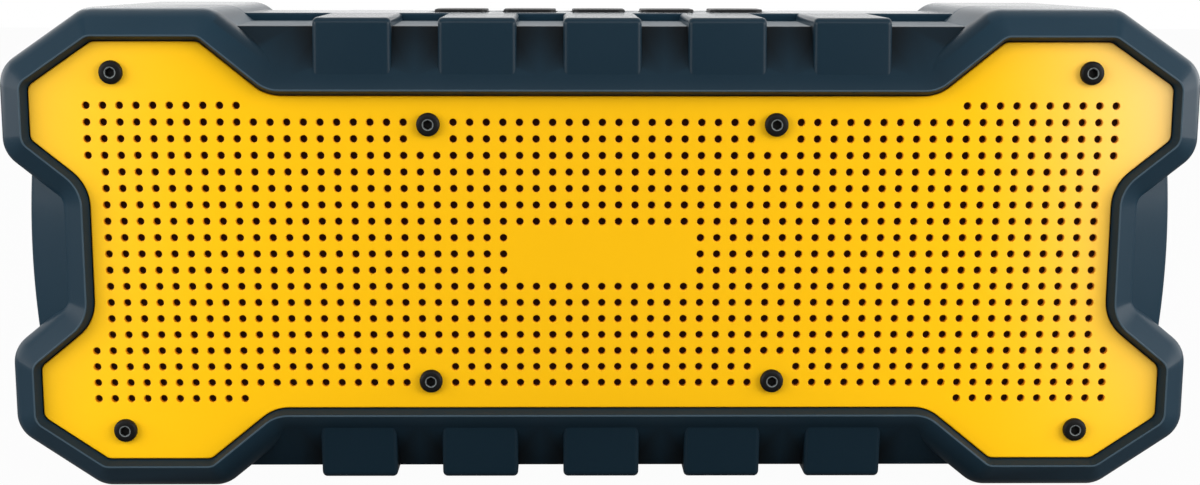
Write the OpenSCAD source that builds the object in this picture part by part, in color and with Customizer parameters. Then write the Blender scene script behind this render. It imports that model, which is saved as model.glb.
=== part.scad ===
// Rugged bench-top bluetooth speaker with a perforated front panel and bumper lobes.
// The front faces -Y, +Z is up, and the origin is under the middle of the footprint.

/* [Body] */
// Overall width across the lobes
body_w = 291.4; // [280:0.2:320]
// Overall height across the lobes
body_h = 118.4; // [114:0.2:130]
// Overall depth from rim to rim
body_d = 100; // [94:1:120]
// Depth of the front shell, from its rim to the joint line
front_shell_d = 42; // [38:1:44]
// How far the lobes stand outside the panel's edge
rim_reach = 8; // [7:0.1:10]
// Depth of the bevel between the rim's crest and the lobe's flank
bevel_d = 6; // [4:0.1:9]
// Softening of the long outer edges
edge_ease = 1.2; // [0.4:0.1:2]
// Width of the sloped wall between the panel and the rim's crest
crest_gap = 1.3; // [0.8:0.1:2]
// Flat width of the rim's crest
crest_w = 0.6; // [0.3:0.1:1]

/* [Lobes] */
// Length of a lobe's straight top edge on the panel
lobe_top = 25.5; // [18:0.1:30]
// Width of a lobe's cut outer corner
cut_w = 15.5; // [10:0.1:20]
// Height of a lobe's cut outer corner
cut_h = 10.6; // [8:0.1:14]
// Length of a lobe's straight side edge on the panel
lobe_side = 12.7; // [8:0.1:16]
// Step from a lobe's side edge to the side waist
side_dip = 13.7; // [8:0.1:18]
// Slope of the edges that lead into the waists
notch_angle = 39; // [30:0.5:45]
// Radius of the panel's outer corners
corner_r = 2.5; // [1:0.1:5]
// Radius where a lobe runs into the top waist
top_notch_r = 10; // [8.5:0.1:14]
// Radius where a lobe runs into the side waist
side_notch_r = 11; // [8.5:0.1:16]

/* [Waist faces and ribs] */
// Width of the rim band that runs round the panel along the waists
band_w = 4.7; // [3.5:0.1:6]
// Height of the lowered ledge under the lobes' top
ledge_drop = 4.2; // [3.4:0.1:7]
// Height of the top ribs and the deck under the lobes' top
deck_drop = 2; // [1.5:0.1:2.9]
// Height of the bottom ribs and the sole over the lobes' foot
sole_drop = 2.7; // [1.5:0.1:3]
// Lean of the waist's face between the ribs
face_lean = 7.5; // [5:0.1:10]
// Lean of a rib's front
rib_lean = 1.9; // [0.5:0.1:4]
// Depth of the deck behind the joint line
deck_d = 33.5; // [30:0.5:36]
// Number of ribs along each long edge
rib_count = 5; // [3:1:5]
// Spacing of the ribs
rib_pitch = 30.1; // [26:0.1:32]
// Width of a rib
rib_w = 18.4; // [12:0.1:22]
// Rounding of a rib's long edges
rib_r = 1.3; // [0.5:0.1:1.7]
// Step from a lobe's flank in to the side waist
side_step = 5; // [3:0.1:7]
// Radius of the side waist's slight belly
belly_r = 220; // [160:5:400]

/* [Front panel] */
// Depth of the panel's face behind the rim's crest
panel_recess = 3; // [2:0.1:4]
// Thickness of the perforated panel
panel_t = 1.5; // [1:0.1:2]
// Gap round the panel's edge
panel_fit = 0.25; // [0.1:0.05:0.5]
// Spacing of the holes
hole_pitch = 4; // [3.6:0.1:5]
// Diameter of a hole
hole_dia = 1.65; // [1.2:0.05:2.2]
// Least distance from a hole to the waist's edge
hole_edge = 3.8; // [3:0.1:4.5]
// Least distance from a hole to the slope between lobe and waist
slope_edge = 5.5; // [4.8:0.1:6.5]
// Half width of the field of holes
field_hw = 124.5; // [116:0.5:126]
// Half height of the field of holes
field_hh = 36.5; // [32:0.5:38]
// Half width of the bare area in the middle
bare_hw = 21; // [13:1:30]
// Half height of the bare area in the middle
bare_hh = 5; // [3:1:12]
// Bare radius round a screw
screw_clear = 5; // [4.5:0.1:5.6]
// Distance of the inner screws from the middle
inner_screw_x = 42; // [38:0.5:44]
// Distance of the inner screws from the waist's edge
inner_screw_in = 6.8; // [6.2:0.1:8]
// Distance of the corner screws from the panel's side
corner_screw_in = 20.1; // [19:0.1:24]
// Distance of the corner screws from the panel's top
corner_screw_drop = 7.3; // [6.5:0.1:9]
// Thickness of the foam seal and of the cloth behind the panel
gasket_t = 0.6; // [0.4:0.1:0.8]
// Width of the seat that carries the panel's edge
seat_w = 2.4; // [2:0.1:3]

/* [Screws] */
// Thread diameter of the panel and case screws
screw_dia = 3; // [3:0.5:3.5]
// Head diameter of the panel and case screws
head_dia = 5.7; // [5.5:0.1:6.5]
// Head height of the panel and case screws
head_h = 1.65; // [1.4:0.05:2]
// Length of a panel screw
panel_screw_l = 9; // [8:0.5:9.5]
// Length of a case screw
case_screw_l = 38; // [34:1:44]
// Outer diameter of the threaded inserts
insert_dia = 4.4; // [4.2:0.1:5]
// Length of the threaded inserts
insert_l = 6; // [5:0.5:6.5]
// Distance of the case screws from the lobes' flanks
case_in_x = 19.8; // [19:0.1:22]
// Distance of the case screws from the lobes' top
case_in_z = 15.9; // [15:0.1:17]
// Diameter of the small self-cutting screws inside
small_screw_dia = 2.2; // [2:0.1:2.5]
// Head diameter of the small screws
small_head_dia = 4; // [3.6:0.1:4.4]

/* [Drivers] */
// Distance of a driver's axis from the panel's side
driver_in = 61.7; // [60:0.1:64]
// Diameter of a driver's flange
flange_dia = 67; // [64:0.5:68]
// Gap between a driver's flange and the seat along the waist
flange_edge = 2.4; // [2:0.1:4]
// Width of the surround's half roll
roll_w = 6; // [5:0.1:7]
// Diameter of the voice coil's former
former_dia = 14; // [12:0.5:16]
// Diameter of the ferrite magnet
magnet_dia = 44; // [40:1:48]
// Thickness of the ferrite magnet
magnet_t = 10; // [8:0.5:12]
// Distance from the rim's crest to the baffle's face
baffle_in = 13; // [12.5:0.1:15]
// Thickness of the baffle
baffle_t = 4; // [3.5:0.1:5]

/* [Controls] */
// Spacing of the buttons
button_pitch = 18.1; // [17.7:0.1:19]
// Width of a button's cap
button_w = 13.8; // [11:0.1:14]
// Depth of a button's cap
button_d = 16; // [12:0.5:18]
// Height of a button above the deck
button_rise = 0.9; // [0.8:0.1:1.5]
// Travel of a button
button_travel = 0.7; // [0.4:0.05:0.9]
// Gap round a button's cap
button_fit = 0.4; // [0.3:0.05:0.6]

/* [Port bay] */
// Width of the bay in the back wall
bay_w = 46; // [40:1:56]
// Height of the bay
bay_h = 16; // [15:0.5:18]
// Depth of the bay
bay_d = 10; // [9:0.5:11]
// Height of the bay's middle below the body's middle
bay_drop = 18; // [15:0.5:20]
// Thickness of the flap
flap_t = 2.5; // [2.2:0.1:3]
// Diameter of the flap's hinge pin
pin_dia = 1.6; // [1.4:0.1:1.8]
// Gap round the flap
flap_fit = 0.4; // [0.3:0.05:0.6]

/* [Electronics] */
// Diameter of a battery cell
cell_dia = 18.4; // [18:0.1:18.6]
// Length of a battery cell
cell_l = 65; // [60:0.5:66]
// Spacing of the battery cells
cell_pitch = 20.5; // [20:0.1:21]
// Width of the main circuit board
board_w = 100; // [90:1:110]
// Height of the main circuit board
board_h = 56; // [50:1:60]
// Thickness of the circuit boards
board_t = 1.6; // [1.2:0.1:2]
// Diameter of a two-core lead
lead_dia = 2; // [1.6:0.1:2.4]

/* [Hidden] */
$fn = 48;
arc_steps = 5;
touch = 0.02;
over = 1;

navy = "#1c2f42";
yellow = "#fdc514";
black = "#17181a";
steel = "#8b8e92";
brass = "#c09a4a";
green = "#1f5a3a";

mid_z = body_h / 2;
front_y = -body_d / 2;
back_y = body_d / 2;
split_y = front_y + front_shell_d;
crest_out = crest_gap + crest_w;
panel_hw = body_w / 2 - rim_reach;
panel_hh = body_h / 2 - rim_reach;
waist_hw = panel_hw - side_dip;
waist_hh = flange_dia / 2 + flange_edge + seat_w;
waist_dip = panel_hh - waist_hh;
lobe_low = panel_hh - cut_h - lobe_side;
lobe_in_x = panel_hw - cut_w - lobe_top;
notch_rise = tan(notch_angle);

// Where the rim band ends and the waist's faces begin, on the bevel
crease_y = front_y + bevel_d * (band_w - crest_out) / (rim_reach - crest_out);
ledge_hh = body_h / 2 - ledge_drop;
deck_hh = body_h / 2 - deck_drop;
sole_hh = body_h / 2 - sole_drop;
deck_back_y = split_y + deck_d;
side_hw = body_w / 2 - side_step;
side_belly_hh = lobe_low + corner_r;
waist_block_hw = lobe_in_x + lobe_top / 3;
rib_sink = 2;

panel_y = front_y + panel_recess;
seat_y = panel_y + panel_t + gasket_t;
baffle_y = front_y + baffle_in;
baffle_back_y = baffle_y + baffle_t;
boss_r = insert_dia / 2 + 2;
corner_screw_x = panel_hw - corner_screw_in;
corner_screw_z = panel_hh - corner_screw_drop;
inner_screw_z = waist_hh - inner_screw_in;
panel_screws = [
    for (sx = [-1, 1], sz = [-1, 1])
        each [[sx * inner_screw_x, sz * inner_screw_z], [sx * corner_screw_x, sz * corner_screw_z]]
];
thread_gap = 0.05;
hole_gap = 0.2;
hex_key = 2;
hex_deep = 1;
dome_ease = 0.4;
small_head_h = 1.5;

// The inner space is a wide band and a tall band that cross, clear of the solid lobes
roof_t = 5;
side_t = 5;
back_t = 4;
post_r = 9;
pocket_in = 8;
pocket_d = 7;
cavity_hh = ledge_hh - roof_t;
cavity_hw = side_hw - side_t;
tall_hw = body_w / 2 - case_in_x - post_r;
wide_hh = body_h / 2 - case_in_z - post_r;
back_floor_y = back_y - panel_recess;
pocket_back_y = back_floor_y - back_t;
cavity_back_y = pocket_back_y - pocket_d;
pocket_hw = waist_hw - pocket_in;
pocket_hh = waist_hh;

case_x = body_w / 2 - case_in_x;
case_z = body_h / 2 - case_in_z;
tip_past = 3;
tip_room = 2;
case_head_y = split_y + case_screw_l - insert_l - tip_past;
case_spots = [for (sx = [-1, 1], sz = [-1, 1]) [sx * case_x, sz * case_z]];

seal_in = 1.4;
seal_w = 1.6;
seal_d = 1.5;

driver_x = panel_hw - driver_in;
flange_r = flange_dia / 2;
former_r = former_dia / 2;
magnet_r = magnet_dia / 2;
flange_lap = 4;
driver_hole_r = flange_r - flange_lap;
driver_gasket_t = 0.8;
flange_t = 2;
flange_top = driver_gasket_t + flange_t;
land_w = 3;
cone_r = driver_hole_r - land_w - roll_w;
driver_screw_in = 2.3;
driver_screw_r = flange_r - driver_screw_in;
driver_tip = 1;
spider_z = -10;
spider_lap = 2.2;
shelf_t = 1.2;
rear_plate_z = -17;
rear_plate_t = 1.5;
top_plate_t = 3;
plate_in = 1.5;
yoke_t = 4;
magnet_top = rear_plate_z - top_plate_t;
yoke_top = magnet_top - magnet_t;
basket_gap = 1.6;
basket_wall = 1.5;
basket_r = driver_hole_r - basket_gap;
basket_back_r = magnet_r - 2 * plate_in;
spider_r = basket_back_r - spider_lap;
window_w = 16;
window_h = 4.5;
neck_z = -7;
paper_t = 0.7;
edge_w = 2.2;
coil_t = 0.5;
former_t = 0.3;
coil_gap = 0.45;
coil_over = 2;
magnet_gap = 4;
screw_angles = [45, 135, 225, 315];

button_count = 5;
button_xs = [for (i = [0 : button_count - 1]) (i - (button_count - 1) / 2) * button_pitch];
button_y = (split_y + deck_back_y) / 2;
button_r = 2;
button_lip = 1.1;
ceiling_z = mid_z + cavity_hh;
lip_gap = 0.3;
lip_top_z = ceiling_z - lip_gap;
lip_t = 1.2;
stem_r = 2;
stem_l = 1.3;
stem_z = lip_top_z - lip_t - stem_l;
switch_body = 6;
switch_body_h = 3.1;
switch_nub_r = 1.7;
switch_nub_h = 1.2;
switch_gap = 0.05;
switch_top_z = stem_z - button_travel - switch_gap;
button_board_z = switch_top_z - switch_nub_h - switch_body_h;
small_boss_r = 3;
boss_gap = 1;
button_board_x = button_xs[button_count - 1] + button_w / 2 + button_lip + small_boss_r + boss_gap;
button_board_d = 18;
board_edge = 0.5;
board_screw_bite = 5;

bay_z = mid_z - bay_drop;
bay_wall = 2;
bay_floor_y = back_floor_y - bay_d;
barrel_wall = 0.9;
barrel_r = pin_dia / 2 + barrel_wall;
barrel_sink = 0.1;
hinge_y = back_floor_y - barrel_r - barrel_sink;
hinge_z = bay_z + bay_h / 2 - barrel_r - flap_fit;
pin_hold = 2.5;
pin_end = 0.2;
pin_gap = 0.05;
pull_r = 1.2;
pull_w = 12;

board_gap = 11;
board_y = bay_floor_y - bay_wall - board_gap;
board_lift = 4;
board_z = mid_z - cavity_hh + board_lift + board_h / 2;
board_in = 4;
board_spots = [
    for (sx = [-1, 1], sz = [-1, 1])
        [sx * (board_w / 2 - board_in), board_z + sz * (board_h / 2 - board_in)]
];
socket_sink = 0.1;
socket_end_y = bay_floor_y - socket_sink;
socket_base_y = board_y + board_t;
socket_gap = 0.3;
charge_x = -10;
charge_w = 9;
charge_h = 3.3;
charge_wall = 0.3;
charge_deep = 8;
tongue_w = 6.4;
tongue_l = 6.5;
tongue_t = 0.7;
aux_x = 10;
aux_r = 3;
aux_bore_r = 1.8;
aux_deep = 9;
aux_block = 7;

cell_gap = 0.2;
cell_button = 1;
tray_wall = 2;
tray_floor = 1.5;
cell_y = baffle_back_y + tray_floor + cell_dia / 2 + cell_gap;
tray_hw = cell_pitch + cell_dia / 2 + tray_wall;
tray_hh = cell_l / 2 + tray_wall;
tray_end_y = cell_y + cell_dia / 4;
tray_ear = 8;
tray_ear_t = 2.5;
tray_spots = [for (sx = [-1, 1], sz = [-1, 1]) [sx * tray_hw / 2, sz * (tray_hh + tray_ear / 2)]];
skin_t = 0.6;

lead_sides = 8;
lead_rings = 15;
terminal_w = 5;
terminal_in = 7.5;
terminal_r = flange_r - terminal_in;
terminal_t = 1;
terminal_rise = 2;

// Corners of a quarter of the panel, each [x, z, radius], with a negative radius on an inward corner
quarter = [
    [waist_hw, lobe_low - side_dip * notch_rise, -side_notch_r],
    [panel_hw, lobe_low, corner_r],
    [panel_hw, lobe_low + lobe_side, corner_r],
    [panel_hw - cut_w, panel_hh, corner_r],
    [lobe_in_x, panel_hh, corner_r],
    [lobe_in_x - waist_dip / notch_rise, waist_hh, -top_notch_r]
];

function backwards(list) = [for (i = [len(list) - 1 : -1 : 0]) list[i]];
function flipped(list, sx, sy) = [for (p = list) [sx * p[0], sy * p[1], p[2]]];
function four_ways(list) = concat(
    list, backwards(flipped(list, -1, 1)), flipped(list, -1, -1), backwards(flipped(list, 1, -1))
);
function heading(a, b) = let (v = [b[0] - a[0], b[1] - a[1]]) v / norm(v);
function outward(u) = [u[1], -u[0]];
function spun(v, a) = [v[0] * cos(a) - v[1] * sin(a), v[0] * sin(a) + v[1] * cos(a)];
function flat(p) = [p[0], p[1]];
function before(list, i) = list[(i + len(list) - 1) % len(list)];
function after(list, i) = list[(i + 1) % len(list)];

// The corners moved outwards by d, their radii with them
function grown(list, d) = [
    for (i = [0 : len(list) - 1])
        let (n = outward(heading(before(list, i), list[i])))
        let (m = outward(heading(list[i], after(list, i))))
        let (p = flat(list[i]) + d * (n + m) / (1 + n * m))
        let (r = list[i][2])
        [p[0], p[1], r > 0 ? max(0.4, r + d) : min(-0.4, r + d)]
];

// A corner drawn as an arc between the directions u and v
function corner_arc(p, u, v, r) =
    let (turn = atan2(u[0] * v[1] - u[1] * v[0], u * v))
    let (side = turn > 0 ? -1 : 1)
    let (hub = flat(p) - u * r * tan(abs(turn) / 2) + side * r * outward(u))
    [for (k = [0 : arc_steps]) hub - side * r * spun(outward(u), turn * k / arc_steps)];

// The panel's outline moved outwards by d
function outline(d) =
    let (list = grown(four_ways(quarter), d))
    [
        for (i = [0 : len(list) - 1])
            let (u = heading(before(list, i), list[i]))
            let (v = heading(list[i], after(list, i)))
            each corner_arc(list[i], u, v, abs(list[i][2]))
    ];

// A solid through outlines at the given stations, each [y, d], from front to back.
// Its two ends are fans about one hub in each quarter, because the outline is hollow at the waists.
module loft(stations) {
    rings = [for (s = stations) [for (p = outline(s[1])) [p[0], s[0], p[1] + mid_z]]];
    n = len(rings[0]);
    last = len(rings) - 1;
    hubs = [
        for (y = [stations[0][0], stations[last][0]], q = [[1, 1], [-1, 1], [-1, -1], [1, -1]])
            [q[0] * lobe_in_x, y, q[1] * waist_hh / 2 + mid_z]
    ];
    sides = [
        for (k = [0 : last - 1], i = [0 : n - 1])
            let (a = k * n + i)
            let (b = k * n + (i + 1) % n)
            each [[a, b, b + n], [a, b + n, a + n]]
    ];
    front_hub = len(rings) * n;
    front = fan(n, 0, front_hub);
    back = fan(n, last * n, front_hub + 4);
    points = concat([for (r = rings) each r], hubs);
    polyhedron(points, concat([for (f = front) backwards(f)], sides, back));
}

// Triangles that close a ring of n points about its four hubs
function fan(n, ring, hub) = concat(
    [
        for (i = [0 : n - 1])
            let (q = floor(4 * i / n))
            let (next = (i + 1) % n)
            let (q2 = floor(4 * next / n))
            each concat(
                [[hub + q, ring + i, ring + next]],
                q == q2 ? [] : [[hub + q, ring + next, hub + q2]]
            )
    ],
    [[hub, hub + 1, hub + 2], [hub, hub + 2, hub + 3]]
);

// A prism of the panel's outline moved by d, between two depths
module panel_prism(d, y0, y1) {
    facing(y1) linear_extrude(y1 - y0) polygon(outline(d));
}

// Places a front view: local x and y lie across the front, local z points forwards from depth y
module facing(y) {
    translate([0, y, mid_z]) rotate([90, 0, 0]) children();
}

// Places a cylinder's axis along the depth, running forwards from depth y
module at(spots, y) {
    for (p = spots) facing(y) translate([p[0], p[1], 0]) children();
}

module at_back() {
    mirror([0, 1, 0]) children();
}

module at_bottom() {
    translate([0, 0, body_h]) mirror([0, 0, 1]) children();
}

module slab(w, h) {
    square([w, h], center = true);
}

module rounded_slab(w, h, r) {
    slab(w - 2 * r, h);
    slab(w, h - 2 * r);
    for (sx = [-1, 1], sy = [-1, 1]) translate([sx * (w / 2 - r), sy * (h / 2 - r)]) circle(r);
}

// The dog-bone body with its bevelled rims
module bone() {
    near = rim_reach - edge_ease;
    lip = bevel_d - edge_ease;
    full = bevel_d + edge_ease;
    loft([
        [front_y, crest_out], [front_y + lip, near], [front_y + full, rim_reach],
        [back_y - full, rim_reach], [back_y - lip, near], [back_y, crest_out]
    ]);
}

// The block between the lobes, with its leaning faces, ledges, raised deck and sole
module waist_block() {
    crease_hh = waist_hh + band_w;
    lean = face_lean / (ledge_hh - crease_hh);
    face = [
        [crease_y - lean * rib_sink, crease_hh - rib_sink],
        [crease_y + face_lean - edge_ease * lean, ledge_hh - edge_ease],
        [crease_y + face_lean + edge_ease, ledge_hh]
    ];
    back = backwards([for (p = face) [-p[0], p[1]]]);
    top = concat(face, raised(deck_hh), back);
    bottom = concat(face, raised(sole_hh), back);
    translate([0, 0, mid_z]) rotate([90, 0, 90])
        linear_extrude(2 * waist_block_hw, center = true)
            polygon(concat(top, backwards([for (p = bottom) [p[0], -p[1]]])));
}

// The side view of the part that stands above the ledges, from the joint line back
function raised(hh) = [[split_y, ledge_hh], [split_y, hh], [deck_back_y, hh], [deck_back_y, ledge_hh]];

// The side waists, with a slight belly
module side_blocks() {
    crease_hw = waist_hw + band_w;
    lean = face_lean / (side_hw - crease_hw);
    side = [
        [side_hw, crease_y + face_lean + edge_ease, 0],
        [side_hw - edge_ease, crease_y + face_lean - edge_ease * lean, 0],
        [crease_hw - rib_sink, crease_y - lean * rib_sink, 0]
    ];
    intersection() {
        translate([0, 0, mid_z]) linear_extrude(2 * side_belly_hh, center = true)
            polygon([for (p = four_ways(side)) flat(p)]);
        union() {
            for (s = [-1, 1])
                intersection() {
                    translate([s * (side_hw - belly_r), 0, mid_z]) rotate([90, 0, 0])
                        cylinder(r = belly_r, h = 2 * body_d, center = true, $fn = 180);
                    translate([s * body_w / 2, 0, mid_z])
                        cube([body_w - over, body_d, body_h], center = true);
                }
        }
    }
}

// The front ribs of one long edge, back to end_y and up to hh: a bar of their side view, cut into ribs
module rib_row(end_y, hh) {
    crease_hh = waist_hh + band_w;
    foot = crease_hh - rib_sink;
    xs = [for (i = [0 : rib_count - 1]) (i - (rib_count - 1) / 2) * rib_pitch];
    rib_h = 2 * (hh - foot);
    intersection() {
        translate([0, 0, mid_z]) rotate([90, 0, 90])
            linear_extrude(2 * waist_block_hw, center = true)
                polygon([
                    [crease_y, foot],
                    [crease_y + rib_lean - touch, hh - edge_ease],
                    [crease_y + rib_lean + edge_ease, hh],
                    [end_y + over, hh],
                    [end_y + over, foot]
                ]);
        facing(0) linear_extrude(body_d)
            for (x = xs) translate([x, hh - rib_h / 2]) rounded_slab(rib_w, rib_h, rib_r);
    }
}

module body_solid() {
    bone();
    waist_block();
    side_blocks();
    rib_row(split_y, deck_hh);
    at_back() rib_row(-deck_back_y, deck_hh);
    at_bottom() rib_row(split_y, sole_hh);
    at_bottom() at_back() rib_row(-deck_back_y, sole_hh);
}

// The front view of the inner space, grown by g
module cavity_view(g) {
    slab(2 * (tall_hw + g), 2 * (cavity_hh + g));
    slab(2 * (cavity_hw + g), 2 * (wide_hh + g));
}

// The sloped recess that holds the front panel
module panel_seat_cut() {
    slope = (crest_gap - panel_fit) / panel_recess;
    loft([[front_y - over, crest_gap + slope * over], [panel_y, panel_fit], [seat_y, panel_fit]]);
}

module half_space(y0, y1) {
    translate([-body_w, y0, -body_h]) cube([2 * body_w, y1 - y0, 3 * body_h]);
}

// The front shell: rim, panel seat, baffle with the two driver openings, and screw bosses
module front_housing() {
    color(navy)
    difference() {
        body_solid();
        half_space(split_y, back_y + over);
        panel_seat_cut();
        difference() {
            panel_prism(-seat_w, seat_y - touch, baffle_y);
            at(panel_screws, baffle_y + over) cylinder(r = boss_r, h = baffle_y + over - panel_y - panel_t);
        }
        at([[-driver_x, 0], [driver_x, 0]], baffle_back_y + over)
            cylinder(r = driver_hole_r, h = baffle_t + 2 * over);
        facing(split_y + over) linear_extrude(split_y + over - baffle_back_y) cavity_view(0);
        at(panel_screws, panel_y + panel_t + insert_l) cylinder(d = insert_dia, h = insert_l + over);
        at(panel_screws, panel_y + panel_screw_l + hole_gap)
            cylinder(d = screw_dia + 2 * thread_gap, h = panel_screw_l);
        at(case_spots, split_y + over) cylinder(d = insert_dia, h = insert_l + over);
        at(case_spots, split_y + over)
            cylinder(d = screw_dia + 2 * thread_gap, h = over + insert_l + tip_past + tip_room);
        for (s = [-1, 1], a = screw_angles)
            at([[s * driver_x + driver_screw_r * cos(a), driver_screw_r * sin(a)]], baffle_back_y - skin_t)
                cylinder(d = small_screw_dia + 2 * thread_gap, h = baffle_t);
        at(tray_spots, baffle_back_y + over)
            cylinder(d = small_screw_dia + 2 * thread_gap, h = baffle_t + over - skin_t);
    }
}

// What stands in the rear shell's inner space: the bay's walls and the boards' bosses
module rear_inner_solids() {
    translate([0, bay_floor_y - bay_wall, bay_z])
        translate([-bay_w / 2 - bay_wall, 0, -bay_h / 2 - bay_wall])
            cube([bay_w + 2 * bay_wall, bay_d + 2 * bay_wall, bay_h + 2 * bay_wall]);
    for (p = board_spots)
        translate([p[0], back_floor_y, p[1]]) rotate([90, 0, 0])
            cylinder(r = small_boss_r, h = back_floor_y - board_y - board_t);
    for (s = [-1, 1])
        translate([s * button_board_x, button_y, button_board_z])
            cylinder(r = small_boss_r, h = ceiling_z + over - button_board_z);
}

module rear_cavity() {
    difference() {
        union() {
            facing(cavity_back_y) linear_extrude(cavity_back_y - split_y + over) cavity_view(0);
            facing(pocket_back_y) linear_extrude(pocket_back_y - split_y) slab(2 * pocket_hw, 2 * pocket_hh);
        }
        rear_inner_solids();
    }
}

// The rear shell: closed recessed back with the port bay, and the deck with the button openings
module rear_housing() {
    slope = (crest_gap - panel_fit) / panel_recess;
    color(navy)
    difference() {
        body_solid();
        half_space(front_y - over, split_y);
        loft([[back_floor_y, panel_fit], [back_y + over, crest_gap + slope * over]]);
        rear_cavity();
        facing(split_y + seal_d) linear_extrude(seal_d + over) seal_view(touch);
        at(case_spots, case_head_y) cylinder(d = screw_dia + 2 * hole_gap, h = case_screw_l);
        at(case_spots, back_y) cylinder(d = head_dia + 2 * hole_gap, h = back_y - case_head_y);
        for (x = button_xs)
            translate([x, button_y, ceiling_z - over]) linear_extrude(body_h)
                rounded_slab(button_w + 2 * button_fit, button_d + 2 * button_fit, button_r + button_fit);
        translate([-bay_w / 2, bay_floor_y, bay_z - bay_h / 2]) cube([bay_w, bay_d + over, bay_h]);
        translate([charge_x, bay_floor_y, bay_z]) rotate([90, 0, 0])
            linear_extrude(4 * bay_wall, center = true) charge_view(socket_gap);
        translate([aux_x, bay_floor_y, bay_z]) rotate([90, 0, 0])
            cylinder(r = aux_r + socket_gap, h = 4 * bay_wall, center = true);
        translate([0, hinge_y, hinge_z]) rotate([0, 90, 0])
            cylinder(d = pin_dia + 2 * touch, h = bay_w + 2 * pin_hold, center = true);
        for (p = board_spots)
            translate([p[0], board_y, p[1]]) rotate([-90, 0, 0])
                cylinder(d = small_screw_dia + 2 * thread_gap, h = board_t + board_screw_bite + tip_room);
        for (s = [-1, 1])
            translate([s * button_board_x, button_y, button_board_z - over])
                cylinder(d = small_screw_dia + 2 * thread_gap, h = over + board_screw_bite + over);
    }
}

// The seal's front view, with its groove wider by g
module seal_view(g) {
    difference() {
        cavity_view(seal_in + seal_w + g);
        cavity_view(seal_in - g);
    }
}

// Rubber ring in the joint between the two shells
module housing_seal() {
    color(black) facing(split_y + seal_d) linear_extrude(seal_d) seal_view(0);
}

// A button-head screw with a hexagon socket, its head at the local origin, pointing down
module head_screw(l) {
    difference() {
        union() {
            translate([0, 0, -l]) cylinder(d = screw_dia, h = l + touch);
            intersection() {
                cylinder(d = head_dia, h = head_h);
                dome_r = (head_dia * head_dia / 4 + head_h * head_h) / (2 * head_h) + dome_ease;
                translate([0, 0, head_h - dome_r]) sphere(r = dome_r);
            }
        }
        translate([0, 0, head_h - hex_deep]) cylinder(d = hex_key / cos(30), h = 2 * hex_deep, $fn = 6);
    }
}

// A small pan-head screw, its head above the local origin
module small_screw(l) {
    translate([0, 0, -l]) cylinder(d = small_screw_dia, h = l + touch);
    cylinder(d = small_head_dia, h = small_head_h);
}

module insert(l) {
    difference() {
        cylinder(d = insert_dia - 2 * touch, h = l);
        translate([0, 0, -over]) cylinder(d = screw_dia + 2 * touch, h = l + 2 * over);
    }
}

// Four long screws that draw the shells together from behind
module case_screws() {
    color(black) for (p = case_spots)
        translate([p[0], case_head_y, p[1] + mid_z]) rotate([-90, 0, 0]) head_screw(case_screw_l);
}

module case_inserts() {
    color(brass) at(case_spots, split_y) insert(insert_l);
}

// Whether a hole at x, z lies inside the panel, clear of its edges, the screws and the bare area
function in_waist(x, z) = x <= waist_hw - hole_edge && z <= waist_hh - hole_edge;
function over_slope(x, z) =
    (waist_hh - z + (x - (lobe_in_x - waist_dip / notch_rise)) * notch_rise) * cos(notch_angle);
function over_side(x, z) = (z - lobe_low + (panel_hw - x) * notch_rise) * cos(notch_angle);
function in_lobe(x, z) =
    over_slope(x, z) >= slope_edge && over_side(x, z) >= hole_edge && x <= panel_hw - slope_edge;
function near_screw(x, z) = min([for (p = panel_screws) norm([x, z] - p)]) < screw_clear;
function in_bare(x, z) = x <= bare_hw && z <= bare_hh;
function holed(x, z) =
    x <= field_hw && z <= field_hh && (in_waist(x, z) || in_lobe(x, z)) && !in_bare(x, z);
cols = floor(field_hw / hole_pitch);
rows = floor(field_hh / hole_pitch);
hole_spots = [
    for (i = [-cols : cols], j = [-rows : rows])
        let (p = hole_pitch * [i, j])
        if (holed(abs(p[0]), abs(p[1])) && !near_screw(p[0], p[1])) p
];

// The perforated sheet-metal front
module grille_panel() {
    color(yellow) facing(panel_y + panel_t) linear_extrude(panel_t)
        difference() {
            polygon(outline(0));
            for (p = hole_spots) translate(p) circle(d = hole_dia);
            for (p = panel_screws) translate(p) circle(d = screw_dia + 2 * hole_gap);
        }
}

// Foam ring under the panel's edge
module grille_gasket() {
    color(black) facing(seat_y) linear_extrude(gasket_t)
        difference() {
            polygon(outline(-touch));
            polygon(outline(-seat_w));
        }
}

// Black acoustic cloth behind the holes
module grille_cloth() {
    color(black) facing(seat_y) linear_extrude(gasket_t)
        difference() {
            polygon(outline(-seat_w - hole_gap));
            for (p = panel_screws) translate(p) circle(boss_r + hole_gap);
        }
}

module grille_screws() {
    color(black) at(panel_screws, panel_y) head_screw(panel_screw_l);
}

module grille_inserts() {
    color(brass) at(panel_screws, panel_y + panel_t + insert_l) insert(insert_l);
}

// Places a driver: local z points forwards from the baffle's face
module driver_at(side) {
    translate([side * driver_x, baffle_y, mid_z]) rotate([90, 0, 0]) children();
}

module ring(r0, r1, z0, z1) {
    translate([0, 0, z0]) difference() {
        cylinder(r = r1, h = z1 - z0);
        translate([0, 0, -over]) cylinder(r = r0, h = z1 - z0 + 2 * over);
    }
}

module driver_screw_holes(z0, h, d) {
    for (a = screw_angles)
        translate([driver_screw_r * cos(a), driver_screw_r * sin(a), z0]) cylinder(d = d, h = h);
}

module driver_gasket(side) {
    color(black) driver_at(side) difference() {
        ring(driver_hole_r, flange_r, 0, driver_gasket_t);
        driver_screw_holes(-over, 3 * over, small_screw_dia + 2 * hole_gap);
    }
}

// Inner radius of a basket's sloped skirt at height z
function skirt_r(z) =
    let (foot_z = rear_plate_z + rear_plate_t)
    basket_back_r - basket_wall + (basket_r - basket_back_r) * (z - foot_z) / (driver_gasket_t - foot_z);

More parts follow.
